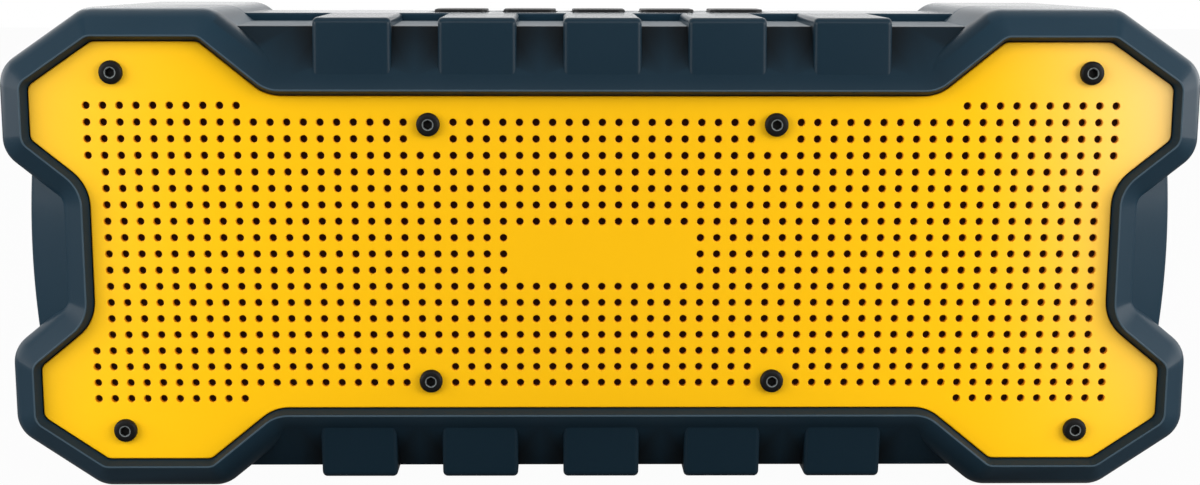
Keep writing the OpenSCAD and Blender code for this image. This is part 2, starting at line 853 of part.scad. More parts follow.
// Pressed-steel basket: flange, windowed skirt, spider shelf, rear plate and terminal tab
module driver_basket(side) {
    color(steel) driver_at(side) difference() {
        union() {
            rotate_extrude() polygon([
                [basket_r - basket_wall, driver_gasket_t],
                [basket_back_r - basket_wall, rear_plate_z + rear_plate_t],
                [former_r + coil_over, rear_plate_z + rear_plate_t],
                [former_r + coil_over, rear_plate_z],
                [basket_back_r, rear_plate_z],
                [basket_r, driver_gasket_t],
                [flange_r, driver_gasket_t],
                [flange_r, flange_top],
                [basket_r - land_w, flange_top],
                [basket_r - land_w, driver_gasket_t]
            ]);
            ring(spider_r, skirt_r(spider_z) + basket_wall / 2, spider_z - shelf_t, spider_z);
            translate([-terminal_w / 2, -terminal_r, rear_plate_z + terminal_rise])
                cube([terminal_w, terminal_r - basket_back_r + basket_wall, terminal_t]);
        }
        for (a = [0, 90, 180, 270])
            rotate([0, 0, a]) translate([spider_r + spider_lap, -window_w / 2, spider_z / 2 - window_h / 2])
                cube([basket_r - spider_r, window_w, window_h]);
        driver_screw_holes(0, flange_top + over, small_screw_dia + 2 * hole_gap);
    }
}

module driver_top_plate(side) {
    color(steel) driver_at(side)
        ring(former_r + coil_t + coil_gap, magnet_r - plate_in, magnet_top, rear_plate_z);
}

module driver_magnet(side) {
    color("#2a2a2c") driver_at(side) ring(former_r + magnet_gap, magnet_r, yoke_top, magnet_top);
}

// Back plate and pole piece in one
module driver_yoke(side) {
    plate_r = magnet_r - plate_in;
    pole_r = former_r - former_t - coil_gap;
    color(steel) driver_at(side) rotate_extrude() polygon([
        [0, yoke_top - yoke_t], [plate_r, yoke_top - yoke_t], [plate_r, yoke_top],
        [pole_r, yoke_top], [pole_r, rear_plate_z], [0, rear_plate_z]
    ]);
}

// Half-roll rubber surround between the basket and the cone's edge
module driver_surround(side) {
    roll_t = 0.6;
    roll_r = roll_w / 2;
    color(black) driver_at(side) rotate_extrude() {
        translate([cone_r - edge_w, flange_top]) square([edge_w + roll_t, roll_t]);
        translate([cone_r + roll_w - roll_t, flange_top]) square([basket_r - cone_r - roll_w, roll_t]);
        intersection() {
            translate([cone_r + roll_r, flange_top]) difference() {
                circle(roll_r);
                circle(roll_r - roll_t);
            }
            translate([0, flange_top]) square([flange_r, flange_r]);
        }
    }
}

// Corrugated cloth spider that centres the coil
module driver_spider(side) {
    inner = former_r + coil_t + former_t;
    outer = spider_r + spider_lap;
    waves = 4;
    wave_h = 0.6;
    cloth_t = 0.4;
    steps = 24;
    top = [
        for (k = [0 : steps])
            let (s = k / steps)
            [inner + (outer - inner) * s, spider_z + wave_h * (1 - cos(360 * waves * s))]
    ];
    color("#c8a45a") driver_at(side) rotate_extrude()
        polygon(concat(top, backwards([for (p = top) p + [0, cloth_t]])));
}

// Paper cone with a flat outer edge for the surround and a neck for the coil
module driver_cone(side) {
    color("#222325") driver_at(side) rotate_extrude() polygon([
        [cone_r, flange_top], [cone_r, flange_top - paper_t], [cone_r - edge_w, flange_top - paper_t],
        [former_r + touch, neck_z - paper_t], [former_r + touch, neck_z],
        [former_r + paper_t, neck_z + hole_gap], [cone_r - edge_w, flange_top]
    ]);
}

module driver_dust_cap(side) {
    cap_r = former_r + edge_w;
    cap_rise = 3;
    cap_t = 0.5;
    ball = (cap_r * cap_r + cap_rise * cap_rise) / (2 * cap_rise);
    slope = (flange_top - neck_z - hole_gap) / (cone_r - edge_w - former_r - paper_t);
    cap_z = neck_z + hole_gap + (cap_r - former_r - paper_t) * slope + touch;
    color(black) driver_at(side) translate([0, 0, cap_z]) intersection() {
        translate([0, 0, cap_rise - ball]) difference() {
            sphere(r = ball);
            sphere(r = ball - cap_t);
        }
        cylinder(r = cap_r, h = 2 * cap_rise);
    }
}

// Former with its copper winding in the magnet's gap
module voice_coil(side) {
    low = magnet_top - coil_over;
    high = rear_plate_z + coil_over;
    color("#b0622a") driver_at(side) rotate_extrude() polygon([
        [former_r - former_t, low], [former_r + coil_t, low], [former_r + coil_t, high],
        [former_r, high], [former_r, neck_z - touch], [former_r - former_t, neck_z - touch]
    ]);
}

module driver_screws() {
    color(black) for (s = [-1, 1])
        driver_at(s) for (a = screw_angles)
            translate([driver_screw_r * cos(a), driver_screw_r * sin(a), flange_top])
                small_screw(flange_top + baffle_t - driver_tip);
}

// A push-button: cap, retaining lip under the deck and a stem over its switch
module button(i) {
    cap_top = mid_z + deck_hh + button_rise;
    color(black) translate([button_xs[i], button_y, 0]) {
        translate([0, 0, lip_top_z - lip_t]) linear_extrude(cap_top - lip_top_z + lip_t)
            rounded_slab(button_w, button_d, button_r);
        translate([0, 0, lip_top_z - lip_t]) linear_extrude(lip_t)
            rounded_slab(button_w + 2 * button_lip, button_d + 2 * button_lip, button_r);
        translate([0, 0, stem_z]) cylinder(r = stem_r, h = stem_l + lip_t / 2);
    }
}

module button_board() {
    half = button_board_x + small_boss_r + board_edge;
    color(green) difference() {
        translate([-half, button_y - button_board_d / 2, button_board_z - board_t])
            cube([2 * half, button_board_d, board_t]);
        for (s = [-1, 1])
            translate([s * button_board_x, button_y, button_board_z - board_t - over])
                cylinder(d = small_screw_dia + 2 * hole_gap, h = board_t + 2 * over);
    }
}

module button_switches() {
    color(black) for (x = button_xs) translate([x, button_y, button_board_z]) {
        translate([-switch_body / 2, -switch_body / 2, 0]) cube([switch_body, switch_body, switch_body_h]);
        cylinder(r = switch_nub_r, h = switch_body_h + switch_nub_h);
    }
}

module button_board_screws() {
    color(steel) for (s = [-1, 1])
        translate([s * button_board_x, button_y, button_board_z - board_t]) rotate([180, 0, 0])
            small_screw(board_t + board_screw_bite);
}

// Rubber flap over the sockets, hung on a pin along its top edge
module port_flap() {
    w = bay_w - 2 * flap_fit;
    low = bay_z - bay_h / 2 + flap_fit;
    color(black) difference() {
        union() {
            translate([-w / 2, back_floor_y - flap_t, low]) cube([w, flap_t, hinge_z - low]);
            translate([0, hinge_y, hinge_z]) rotate([0, 90, 0]) cylinder(r = barrel_r, h = w, center = true);
        }
        translate([0, hinge_y, hinge_z]) rotate([0, 90, 0])
            cylinder(d = pin_dia + 2 * pin_gap, h = bay_w, center = true);
        translate([0, back_floor_y, low]) rotate([0, 90, 0]) cylinder(r = pull_r, h = pull_w, center = true);
    }
}

module flap_pin() {
    color(steel) translate([0, hinge_y, hinge_z]) rotate([0, 90, 0])
        cylinder(d = pin_dia, h = bay_w + 2 * (pin_hold - pin_end), center = true);
}

// A chip or coil on the main board's front, its middle at x, z from the board's middle
module chip(x, z, w, h, t) {
    translate([x - w / 2, board_y - t, board_z + z - h / 2]) cube([w, t + touch, h]);
}

// Main circuit board with its processor, amplifier, coils and capacitors
module main_board() {
    coil = 12;
    coil_h = 4.5;
    can_dia = 8;
    can_l = 11;
    color(green) difference() {
        union() {
            translate([-board_w / 2, board_y, board_z - board_h / 2]) cube([board_w, board_t, board_h]);
            chip(-board_w / 20, board_h / 5, 9, 9, 1.2);
            chip(board_w / 6, board_h / 5, 7, 5, 0.9);
            for (s = [-1, 1]) {
                chip(s * 2 * coil, -board_h / 7, coil, coil, coil_h);
                translate([s * (board_w / 2 - 1.5 * can_dia), board_y + touch, board_z]) rotate([90, 0, 0])
                    cylinder(d = can_dia, h = can_l);
            }
        }
        for (p = board_spots)
            translate([p[0], board_y - over, p[1]]) rotate([-90, 0, 0])
                cylinder(d = small_screw_dia + 2 * hole_gap, h = board_t + 2 * over);
    }
}

module board_screws() {
    color(steel) for (p = board_spots)
        translate([p[0], board_y, p[1]]) rotate([90, 0, 0]) small_screw(board_t + board_screw_bite);
}

// The charging socket's end view, grown by g
module charge_view(g) {
    rounded_slab(charge_w + 2 * g, charge_h + 2 * g, charge_h / 2 + g - touch);
}

// Charging socket on the main board: an oval shell with a tongue
module charge_socket() {
    color(steel) translate([charge_x, socket_end_y, bay_z]) rotate([90, 0, 0]) difference() {
        linear_extrude(socket_end_y - socket_base_y) charge_view(0);
        translate([0, 0, -over]) linear_extrude(charge_deep + over) charge_view(-charge_wall);
    }
    color(black)
        translate([charge_x - tongue_w / 2, socket_end_y - charge_deep - touch, bay_z - tongue_t / 2])
            cube([tongue_w, tongue_l, tongue_t]);
}

// Audio input socket on the main board
module aux_socket() {
    color(black) difference() {
        union() {
            translate([aux_x, socket_end_y, bay_z]) rotate([90, 0, 0])
                cylinder(r = aux_r, h = socket_end_y - socket_base_y);
            translate([aux_x - aux_block / 2, socket_base_y, bay_z - aux_block / 2])
                cube([aux_block, aux_block, aux_block]);
        }
        translate([aux_x, socket_end_y + over, bay_z]) rotate([90, 0, 0])
            cylinder(r = aux_bore_r, h = aux_deep + over);
    }
}

// Three cylindrical cells standing side by side
module battery_cells() {
    color("#3a6ea5") for (i = [-1, 0, 1])
        translate([i * cell_pitch, cell_y, mid_z - cell_l / 2]) {
            cylinder(d = cell_dia, h = cell_l - cell_button);
            cylinder(d = cell_dia / 3, h = cell_l);
        }
}

// Moulded cradle that clips round the cells and screws to the baffle's back
module battery_tray() {
    color(black) difference() {
        union() {
            translate([-tray_hw, baffle_back_y, mid_z - tray_hh])
                cube([2 * tray_hw, tray_end_y - baffle_back_y, 2 * tray_hh]);
            for (x = [-tray_hw / 2, tray_hw / 2])
                translate([x - tray_ear / 2, baffle_back_y, mid_z - tray_hh - tray_ear])
                    cube([tray_ear, tray_ear_t, 2 * (tray_hh + tray_ear)]);
        }
        for (i = [-1, 0, 1])
            translate([i * cell_pitch, cell_y, mid_z - cell_l / 2 - cell_gap])
                cylinder(d = cell_dia + 2 * cell_gap, h = cell_l + 2 * cell_gap);
        at(tray_spots, baffle_back_y + tray_ear_t + over)
            cylinder(d = small_screw_dia + 2 * hole_gap, h = tray_ear_t + 2 * over);
    }
}

module tray_screws() {
    color(steel) for (p = tray_spots)
        translate([p[0], baffle_back_y + tray_ear_t, p[1] + mid_z]) rotate([-90, 0, 0])
            small_screw(tray_ear_t + baffle_t - 2 * skin_t);
}

// A point on a smooth curve through four points, at t between the middle two
function on_curve(a, b, c, d, t) =
    0.5 * (2 * b + (c - a) * t + (2 * a - 5 * b + 4 * c - d) * t * t
        + (3 * b - a - 3 * c + d) * t * t * t);
function route_point(list, s) =
    let (n = len(list) - 1)
    let (k = min(floor(s * n), n - 1))
    on_curve(list[max(k - 1, 0)], list[k], list[k + 1], list[min(k + 2, n)], s * n - k);
function unit(v) = v / norm(v);

// A round lead swept along a route, its ends square to the first and last legs
module lead(list) {
    last = lead_rings - 1;
    spine = [for (k = [0 : last]) route_point(list, k / last)];
    ends = [list[1] - list[0], list[len(list) - 1] - list[len(list) - 2]];
    ways = [for (k = [0 : last]) k == 0 ? ends[0] : k == last ? ends[1] : spine[k + 1] - spine[k - 1]];
    rings = [
        for (k = [0 : last])
            let (way = unit(ways[k]))
            let (u = unit(cross(way, [0.31, 0.17, 0.94])))
            let (v = cross(way, u))
            each [
                for (i = [0 : lead_sides - 1])
                    let (a = 360 * i / lead_sides)
                    spine[k] + lead_dia / 2 * (cos(a) * u + sin(a) * v)
            ]
    ];
    sides = [
        for (k = [0 : last - 1], i = [0 : lead_sides - 1])
            let (a = k * lead_sides + i)
            let (b = k * lead_sides + (i + 1) % lead_sides)
            each [[a, a + lead_sides, b + lead_sides], [a, b + lead_sides, b]]
    ];
    start = [for (i = [0 : lead_sides - 1]) i];
    end = [for (i = [lead_sides - 1 : -1 : 0]) last * lead_sides + i];
    polyhedron(rings, concat([start], sides, [end]));
}

// From a driver's terminal tab to the main board
module speaker_lead(side) {
    tab_y = baffle_y - rear_plate_z - terminal_rise + touch;
    tab = [side * driver_x, tab_y, mid_z - terminal_r + terminal_rise];
    head = [side * board_w * 0.3, board_y - touch, board_z + board_h * 0.3];
    color(black) lead([
        tab, tab + [0, 5, 0], tab + [side * -14, 18, 4], head + [side * 8, -14, -6], head + [0, -5, 0], head
    ]);
}

module battery_lead() {
    tail = [0, tray_end_y + touch, mid_z + tray_hh - tray_wall / 2];
    head = [0, board_y - touch, board_z + board_h / 2 - board_in];
    color("#a02020") lead([tail, tail + [0, 10, 0], head + [0, -18, 12], head + [0, -7, 0], head]);
}

module button_lead() {
    tail = [board_w / 4, button_y + button_board_d / 4, button_board_z - board_t - touch];
    head = [board_w * 0.3, board_y - touch, board_z + board_h / 2 - board_in];
    color("#d0d0d0") lead([tail, tail + [0, 0, -10], head + [0, -12, 11], head + [0, -5, 0], head]);
}

front_housing();
rear_housing();
housing_seal();
case_screws();
case_inserts();
grille_panel();
grille_gasket();
grille_cloth();
grille_screws();
grille_inserts();
driver_gasket(-1);  // left_driver_gasket
driver_gasket(1);  // right_driver_gasket
driver_basket(-1);  // left_driver_basket
driver_basket(1);  // right_driver_basket
driver_top_plate(-1);  // left_driver_top_plate
driver_top_plate(1);  // right_driver_top_plate
driver_magnet(-1);  // left_driver_magnet
driver_magnet(1);  // right_driver_magnet
driver_yoke(-1);  // left_driver_yoke
driver_yoke(1);  // right_driver_yoke
driver_surround(-1);  // left_driver_surround
driver_surround(1);  // right_driver_surround
driver_spider(-1);  // left_driver_spider
driver_spider(1);  // right_driver_spider
driver_cone(-1);  // left_driver_cone
driver_cone(1);  // right_driver_cone
driver_dust_cap(-1);  // left_driver_dust_cap
driver_dust_cap(1);  // right_driver_dust_cap
voice_coil(-1);  // left_voice_coil
voice_coil(1);  // right_voice_coil
driver_screws();
button(0);  // power_button
button(1);  // pairing_button
button(2);  // volume_down_button
button(3);  // play_button
button(4);  // volume_up_button
button_board();
button_switches();
button_board_screws();
port_flap();
flap_pin();
main_board();
board_screws();
charge_socket();
aux_socket();
battery_cells();
battery_tray();
tray_screws();
speaker_lead(-1);  // left_speaker_lead
speaker_lead(1);  // right_speaker_lead
battery_lead();
button_lead();
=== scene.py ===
"""A rugged dog-bone bluetooth speaker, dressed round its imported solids."""
import bpy
import numpy as np
from mathutils import Matrix
from mathutils.geometry import delaunay_2d_cdt


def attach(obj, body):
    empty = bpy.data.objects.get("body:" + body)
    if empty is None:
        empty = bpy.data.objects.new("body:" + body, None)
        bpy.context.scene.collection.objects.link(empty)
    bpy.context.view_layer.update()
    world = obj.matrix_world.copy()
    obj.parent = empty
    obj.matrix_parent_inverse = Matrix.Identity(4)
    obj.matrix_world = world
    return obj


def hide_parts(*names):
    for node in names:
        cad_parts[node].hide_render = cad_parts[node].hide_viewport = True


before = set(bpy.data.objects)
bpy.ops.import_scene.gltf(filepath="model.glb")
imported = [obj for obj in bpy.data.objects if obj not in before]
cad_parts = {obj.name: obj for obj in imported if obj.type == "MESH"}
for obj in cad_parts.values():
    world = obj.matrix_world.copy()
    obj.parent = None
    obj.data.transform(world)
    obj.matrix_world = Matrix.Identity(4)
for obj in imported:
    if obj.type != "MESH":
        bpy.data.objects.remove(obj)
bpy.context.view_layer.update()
MM = 0.001


# The two moulded shells: a stiff plastic case with a thick navy rubber skin moulded over it. One dog-bone
# outline gives the rim, its broad bevel and the lobes' flanks, and the waists and ribs are joined to it. In
# a quarter of the outline, a radius below zero marks a hollow corner.
MID_Z = 59.2
FRONT_Y, BACK_Y, SPLIT_Y = -50.0, 50.0, -8.0
RIM_REACH, CREST_IN, CREST_OUT, RIM_FIT = 8.0, 1.25, 1.65, 0.25
PANEL_RECESS, SEAT_DEEP, EDGE_R, SEAM_R = 3.0, 5.1, 7.5, 0.35
PANEL_HW, PANEL_HH, WAIST_HW, WAIST_HH = 137.7, 51.2, 124.0, 38.3
LOBE_LOW, LOBE_HIGH, LOBE_IN_X, LOBE_OUT_X, NOTCH_ANGLE = 27.9, 40.6, 96.7, 122.2, np.radians(39.0)
LOBE_R, SIDE_HOLLOW_R, TOP_HOLLOW_R, LEAST_R = 2.5, 11.0, 10.0, 0.4
NOTCH_RISE, NOTCH_COS = np.tan(NOTCH_ANGLE), np.cos(NOTCH_ANGLE)
NOTCH_X = LOBE_IN_X - (PANEL_HH - WAIST_HH) / NOTCH_RISE
QUARTER = np.array([
    [WAIST_HW, LOBE_LOW - (PANEL_HW - WAIST_HW) * NOTCH_RISE], [PANEL_HW, LOBE_LOW],
    [PANEL_HW, LOBE_HIGH], [LOBE_OUT_X, PANEL_HH], [LOBE_IN_X, PANEL_HH], [NOTCH_X, WAIST_HH],
])
QUARTER_R = np.array([-SIDE_HOLLOW_R, LOBE_R, LOBE_R, LOBE_R, LOBE_R, -TOP_HOLLOW_R])


def unit(v):
    """Each row divided by its length."""
    return v / np.linalg.norm(v, axis=-1, keepdims=True)


def fillet(points, radii, steps=8, closed=False, hold=0.25):
    """A polyline with every corner turned into the arc of its radius: the rational quadratic between the
    tangent points, weighted by the cosine of half the turn, with a hold point on each side of the arc."""
    p = np.asarray(points, float)
    u, v = unit(p - np.roll(p, 1, 0)), unit(np.roll(p, -1, 0) - p)
    half = 0.5 * np.arccos(np.clip((u * v).sum(1), -1, 1))
    t = (np.asarray(radii, float) * np.tan(half))[:, None]
    a, b = (p - u * t)[:, None], (p + v * t)[:, None]
    s = np.linspace(0, 1, steps + 1)[None, :, None]
    w = np.cos(half)[:, None, None]
    top = a * (1 - s) ** 2 + 2 * w * p[:, None] * s * (1 - s) + b * s ** 2
    arcs = top / ((1 - s) ** 2 + 2 * w * s * (1 - s) + s ** 2)
    arcs = np.concatenate([a - hold * u[:, None], arcs, b + hold * v[:, None]], 1)
    if closed:
        return arcs.reshape(-1, 2)
    return np.concatenate([p[:1], arcs[1:-1].reshape(-1, 2), p[-1:]])


def outline(d):
    """The panel's dog-bone outline moved outwards by d: the quarter's corners taken four ways round, each
    shifted along the mean of its two edge normals. A hollow corner's radius shrinks by d, and a lobe's
    corner grows by two thirds of it."""
    turn = slice(None, None, -1)
    flips = [(1, 1, slice(None)), (-1, 1, turn), (-1, -1, slice(None)), (1, -1, turn)]
    p = np.concatenate([(QUARTER * (sx, sz))[order] for sx, sz, order in flips])
    r = np.concatenate([QUARTER_R[order] for _, _, order in flips])
    u = unit(p - np.roll(p, 1, 0))
    n = np.stack([u[:, 1], -u[:, 0]], 1)
    m = np.roll(n, -1, 0)
    p = p + d * (n + m) / (1 + (n * m).sum(1, keepdims=True))
    r = np.maximum(LEAST_R, np.where(r > 0, r + d / 1.5, -r - d))
    return fillet(p, r, closed=True)


def at_depth(xz, y):
    """Front-view points, measured from the body's middle, set at depth y."""
    return np.stack([xz[:, 0], np.full(len(xz), y), xz[:, 1] + MID_Z], 1)


SHARP_ANGLE = 16.0


def piece(name, verts, faces, angle=SHARP_ANGLE):
    """A mesh object from points in millimetres, smooth but for edges that turn by more than the angle."""
    mesh = bpy.data.meshes.new(name)
    mesh.from_pydata((np.asarray(verts) * MM).tolist(), [], faces)
    mesh.shade_smooth()
    mesh.set_sharp_from_angle(angle=np.radians(angle))
    obj = bpy.data.objects.new(name, mesh)
    bpy.context.scene.collection.objects.link(obj)
    return obj


def grid_faces(k, n, first=0):
    """Quads that join k rings of n points each, ring after ring, counted from the first point."""
    i, j = np.meshgrid(np.arange(k - 1), np.arange(n), indexing="ij")
    a, b = first + i * n + j, first + i * n + (j + 1) % n
    return np.stack([a, b, b + n, a + n], -1).reshape(-1, 4)


def loft(name, rings, **shade):
    """A closed solid through rings of points: quads from ring to ring, and a flat cap at each end. It is
    turned right side out by the sign of its volume."""
    rings = np.asarray(rings)
    k, n = rings.shape[:2]
    verts = rings.reshape(-1, 3)
    quads = grid_faces(k, n)
    a, b, c, d = (verts[quads[:, i]] for i in range(4))
    caps = [np.arange(n)[::-1], (k - 1) * n + np.arange(n)]
    hub = verts.mean(0)
    volume = (np.cross(b - hub, c - hub) * (a - hub)).sum() + (np.cross(c - hub, d - hub) * (a - hub)).sum()
    for cap in caps:
        p = verts[cap] - hub
        volume += (np.cross(p[1:-1], p[2:]) * p[0]).sum()
    faces = quads.tolist() + [cap.tolist() for cap in caps]
    if volume < 0:
        faces = [f[::-1] for f in faces]
    return piece(name, verts, faces, **shade)


def carved(obj, others, how):
    """The solid joined with, or cut by, the others, which are used up."""
    for other in others:
        step = obj.modifiers.new(other.name, "BOOLEAN")
        step.operation, step.solver, step.object = how, "MANIFOLD", other
    mesh = bpy.data.meshes.new_from_object(obj.evaluated_get(bpy.context.evaluated_depsgraph_get()))
    obj.modifiers.clear()
    obj.data = mesh
    mesh.name = obj.name
    mesh.shade_smooth()
    mesh.set_sharp_from_angle(angle=np.radians(SHARP_ANGLE))
    for other in others:
        bpy.data.objects.remove(other)
    return obj


def box(name, low, high):
    """A plain block between two corners."""
    (x0, y0, z0), (x1, y1, z1) = low, high
    loop = [[x0, y0], [x1, y0], [x1, y1], [x0, y1]]
    return loft(name, [[[x, y, z] for x, y in loop] for z in (z0, z1)])


def rod(name, xz, r, y0, y1, sides=40):
    """A cylinder along the depth between two depths."""
    a = np.linspace(0, 2 * np.pi, sides, endpoint=False)
    ring = np.stack([xz[0] + r * np.cos(a), xz[1] + r * np.sin(a)], 1)
    return loft(name, [at_depth(ring, y) for y in (y0, y1)])


def rim_solid(name, profile, radii):
    """A dog-bone solid: the outline is carried along a rounded profile of offset against depth."""
    return loft(name, [at_depth(outline(d), y) for d, y in fillet(profile, radii, hold=0.08)])


def recess(name, wall_ys, crest_y, foot_r=0.3, lip=0.2, over=0.002):
    """The room inside a rim: straight up its wall, then splayed to just over the crest, where it rolls
    outwards by a lip."""
    beyond = crest_y + np.sign(crest_y) * over
    profile = [[RIM_FIT, y] for y in wall_ys]
    profile += [[CREST_IN, beyond], [CREST_IN + lip, beyond], [CREST_IN + lip, 1.1 * beyond]]
    return rim_solid(name, profile, [foot_r] * len(wall_ys) + [lip, 0, 0])


BAND_W, FACE_LEAN, LEDGE_HH, LEDGE_RISE, BROW_R = 4.7, 7.5, 54.75, 0.5, 0.9
DECK_HH, SOLE_HH, DECK_BACK_Y, BEVEL_DEEP = 57.2, 56.5, 25.5, 6.0
BEVEL_SLOPE = BEVEL_DEEP / (RIM_REACH - CREST_OUT)
CREASE_Y = FRONT_Y + BEVEL_SLOPE * (BAND_W - CREST_OUT)
CREASE_HH, CREASE_HW = WAIST_HH + BAND_W, WAIST_HW + BAND_W
BLOCK_HW, SINK = 105.2, 2.0
SIDE_HW, SIDE_HH, SIDE_STEP, SIDE_R, SIDE_ROOT_X, BELLY_R = 140.7, 33.0, 1.3, 2.0, 118.0, 220.0
RIB_COUNT, RIB_PITCH, RIB_W, RIB_R = 5, 30.1, 18.8, 1.2
RIB_LEAN, RIB_FALL, RIB_TOP_R, RIB_ROOT = 1.9, 0.3, 1.7, 5.0
RIB_XS = (np.arange(RIB_COUNT) - (RIB_COUNT - 1) / 2) * RIB_PITCH


def waist_solid(raised):
    """Half of the block between the lobes: its rounded side view, with a leaning face and a ledge above and
    below, carried along the width in steps from gap to gap between the ribs. Raised gives what stands behind
    the ledge, and each corner its radius."""
    lean = FACE_LEAN / (LEDGE_HH - CREASE_HH)
    face = [[CREASE_Y - lean * SINK, CREASE_HH - SINK, 0.1], [CREASE_Y + FACE_LEAN, LEDGE_HH, BROW_R]]
    top, low = (np.array(face + raised(hh)) for hh in (DECK_HH, SOLE_HH))
    loop = np.concatenate([top, (low * (1, -1, 1))[::-1]])
    loop = fillet(loop[:, :2], loop[:, 2], closed=True, hold=0.1)
    gaps = (np.arange(RIB_COUNT + 1) - RIB_COUNT / 2) * RIB_PITCH
    return np.stack([np.stack([np.full(len(loop), x), loop[:, 0], loop[:, 1] + MID_Z], 1)
                     for x in (-BLOCK_HW, *gaps, BLOCK_HW)])


def side_rings(hand, end_y):
    """A side waist: a rounded plan view with its leaning face, stacked up the height and drawn in towards
    its ends by the sag of a large circle. Hand is 1 on the right and -1 on the left."""
    lean = (FACE_LEAN - SIDE_STEP) / (SIDE_HW - CREASE_HW)
    foot_y = CREASE_Y + SIDE_STEP - lean * SINK
    plan = np.array([
        [CREASE_HW - SINK, foot_y], [SIDE_HW, CREASE_Y + FACE_LEAN], [SIDE_HW, end_y],
        [SIDE_ROOT_X, end_y], [SIDE_ROOT_X, foot_y],
    ])
    loop = fillet(plan, [0.1, SIDE_R, SEAM_R, 0.1, 0.1], closed=True, hold=0.1)
    z = np.linspace(-SIDE_HH, SIDE_HH, 25)[:, None]
    sag = BELLY_R - np.sqrt(BELLY_R ** 2 - z ** 2)
    return np.stack([hand * (loop[:, 0] - sag), loop[:, 1] + 0 * z, MID_Z + z + 0 * loop[:, 0]], -1)


def rib_rings(x, end_y, up, hh):
    """A rib: a rounded cross-section carried up the face and back over the top to end_y. The upper ribs' tops
    fall a little towards the front. The section follows the path's normal, and its root lies at a slant
    behind, inside the body."""
    path = [[CREASE_Y, CREASE_HH - SINK], [CREASE_Y + RIB_LEAN, hh - RIB_FALL * (up > 0)], [end_y, hh]]
    path = fillet(path, [0.1, RIB_TOP_R, 0.1], steps=10, hold=0.2)
    way = unit(np.gradient(path, axis=0))
    normal = np.stack([-way[:, 1], way[:, 0]], 1)
    a = np.linspace(0, np.pi / 2, 9)
    reach, drop = RIB_W / 2 - RIB_R + RIB_R * np.sin(a), RIB_R * np.cos(a) - RIB_R
    reach = np.concatenate([-reach[::-1], reach])
    drop = np.concatenate([drop[::-1], drop])
    skin = path[:, None] + drop[None, :, None] * normal[:, None]
    skin[-1, :, 0] = end_y
    root = np.stack([np.minimum(path[:, 0] + RIB_ROOT, end_y), path[:, 1] - RIB_ROOT], 1)[:, None]
    rings = np.concatenate([root, skin, root], 1)
    xs = np.broadcast_to(x + np.concatenate([[-RIB_W / 2], reach, [RIB_W / 2]]), rings.shape[:2])
    return np.stack([xs, rings[..., 0], up * rings[..., 1] + MID_Z], -1)


def dressed_body(name, end, raised, rib_end, profile, radii):
    """The rim solid with its waists and ribs joined on. All is laid out for the front: end is 1 there, and
    -1 turns it to face the back. Raised and rib_end are the waist's and the ribs' own; profile and radii are
    the rim's."""
    turn = np.array([1, end, 1])
    extras = [loft(name + "_waist", waist_solid(raised) * turn)]
    extras += [loft(f"{name}_side{h}", side_rings(h, end * SPLIT_Y) * turn) for h in (-1, 1)]
    extras += [loft(f"{name}_rib{i}_{up}", rib_rings(x, rib_end, up, hh) * turn)
               for i, x in enumerate(RIB_XS) for up, hh in ((1, DECK_HH), (-1, SOLE_HH))]
    return carved(rim_solid(name, profile, radii), extras, "UNION")


class Wire:
    """A socket of a material's nodes that can be added, taken away and multiplied in an expression."""

    def __init__(self, tree, out=None):
        self.tree, self.out = tree, out

    def node(self, kind, settings=None, out=0, **inputs):
        """Adds a node of that type, sets its settings, then its inputs by name or, as i0, by number."""
        n = self.tree.nodes.new("ShaderNode" + kind)
        for key, value in (settings or {}).items():
            setattr(n, key, value)
        for key, value in inputs.items():
            socket = n.inputs[int(key[1:])] if key[1:].isdigit() else n.inputs[key.replace("_", " ")]
            if isinstance(value, Wire):
                self.tree.links.new(value.out, socket)
            else:
                socket.default_value = value
        return Wire(self.tree, n.outputs[out])

    def sum(self, how, a, b):
        """A Math node on two values."""
        return self.node("Math", {"operation": how}, i0=a, i1=b)

    def __add__(self, other):
        return self.sum("ADD", self, other)

    def __radd__(self, other):
        return self.sum("ADD", other, self)

    def __sub__(self, other):
        return self.sum("SUBTRACT", self, other)

    def __rsub__(self, other):
        return self.sum("SUBTRACT", other, self)

    def __mul__(self, other):
        return self.sum("MULTIPLY", self, other)

    def __rmul__(self, other):
        return self.sum("MULTIPLY", other, self)


def ink(r, g, b):
    """A display colour, 0 to 255, as linear light."""
    c = np.array([r, g, b]) / 255
    lin = np.where(c <= 0.04045, c / 12.92, ((c + 0.055) / 1.055) ** 2.4)
    return (*lin.tolist(), 1.0)


def new_finish(name):
    """An empty material: its first wire and its surface shader."""
    mat = bpy.data.materials.new(name)
    mat.use_nodes = True
    tree = mat.node_tree
    return mat, Wire(tree), tree.nodes["Principled BSDF"]


def link(wire, shader, name):
    """Feeds a wire to one of a shader's sockets."""
    wire.tree.links.new(wire.out, shader.inputs[name])


def spots(w, scale, detail=2.0):
    """Cloudy noise of that many cells a metre, from 0 to 1, on the object's own coordinates."""
    place = w.node("TexCoord", out=3)
    return w.node("TexNoise", Vector=place, Scale=scale, Detail=detail, Roughness=0.55)


def blended(w, share, a, b):
    """One colour mixed into another by a share."""
    return w.node("Mix", {"data_type": "RGBA"}, out=2, i0=share, i6=a, i7=b)


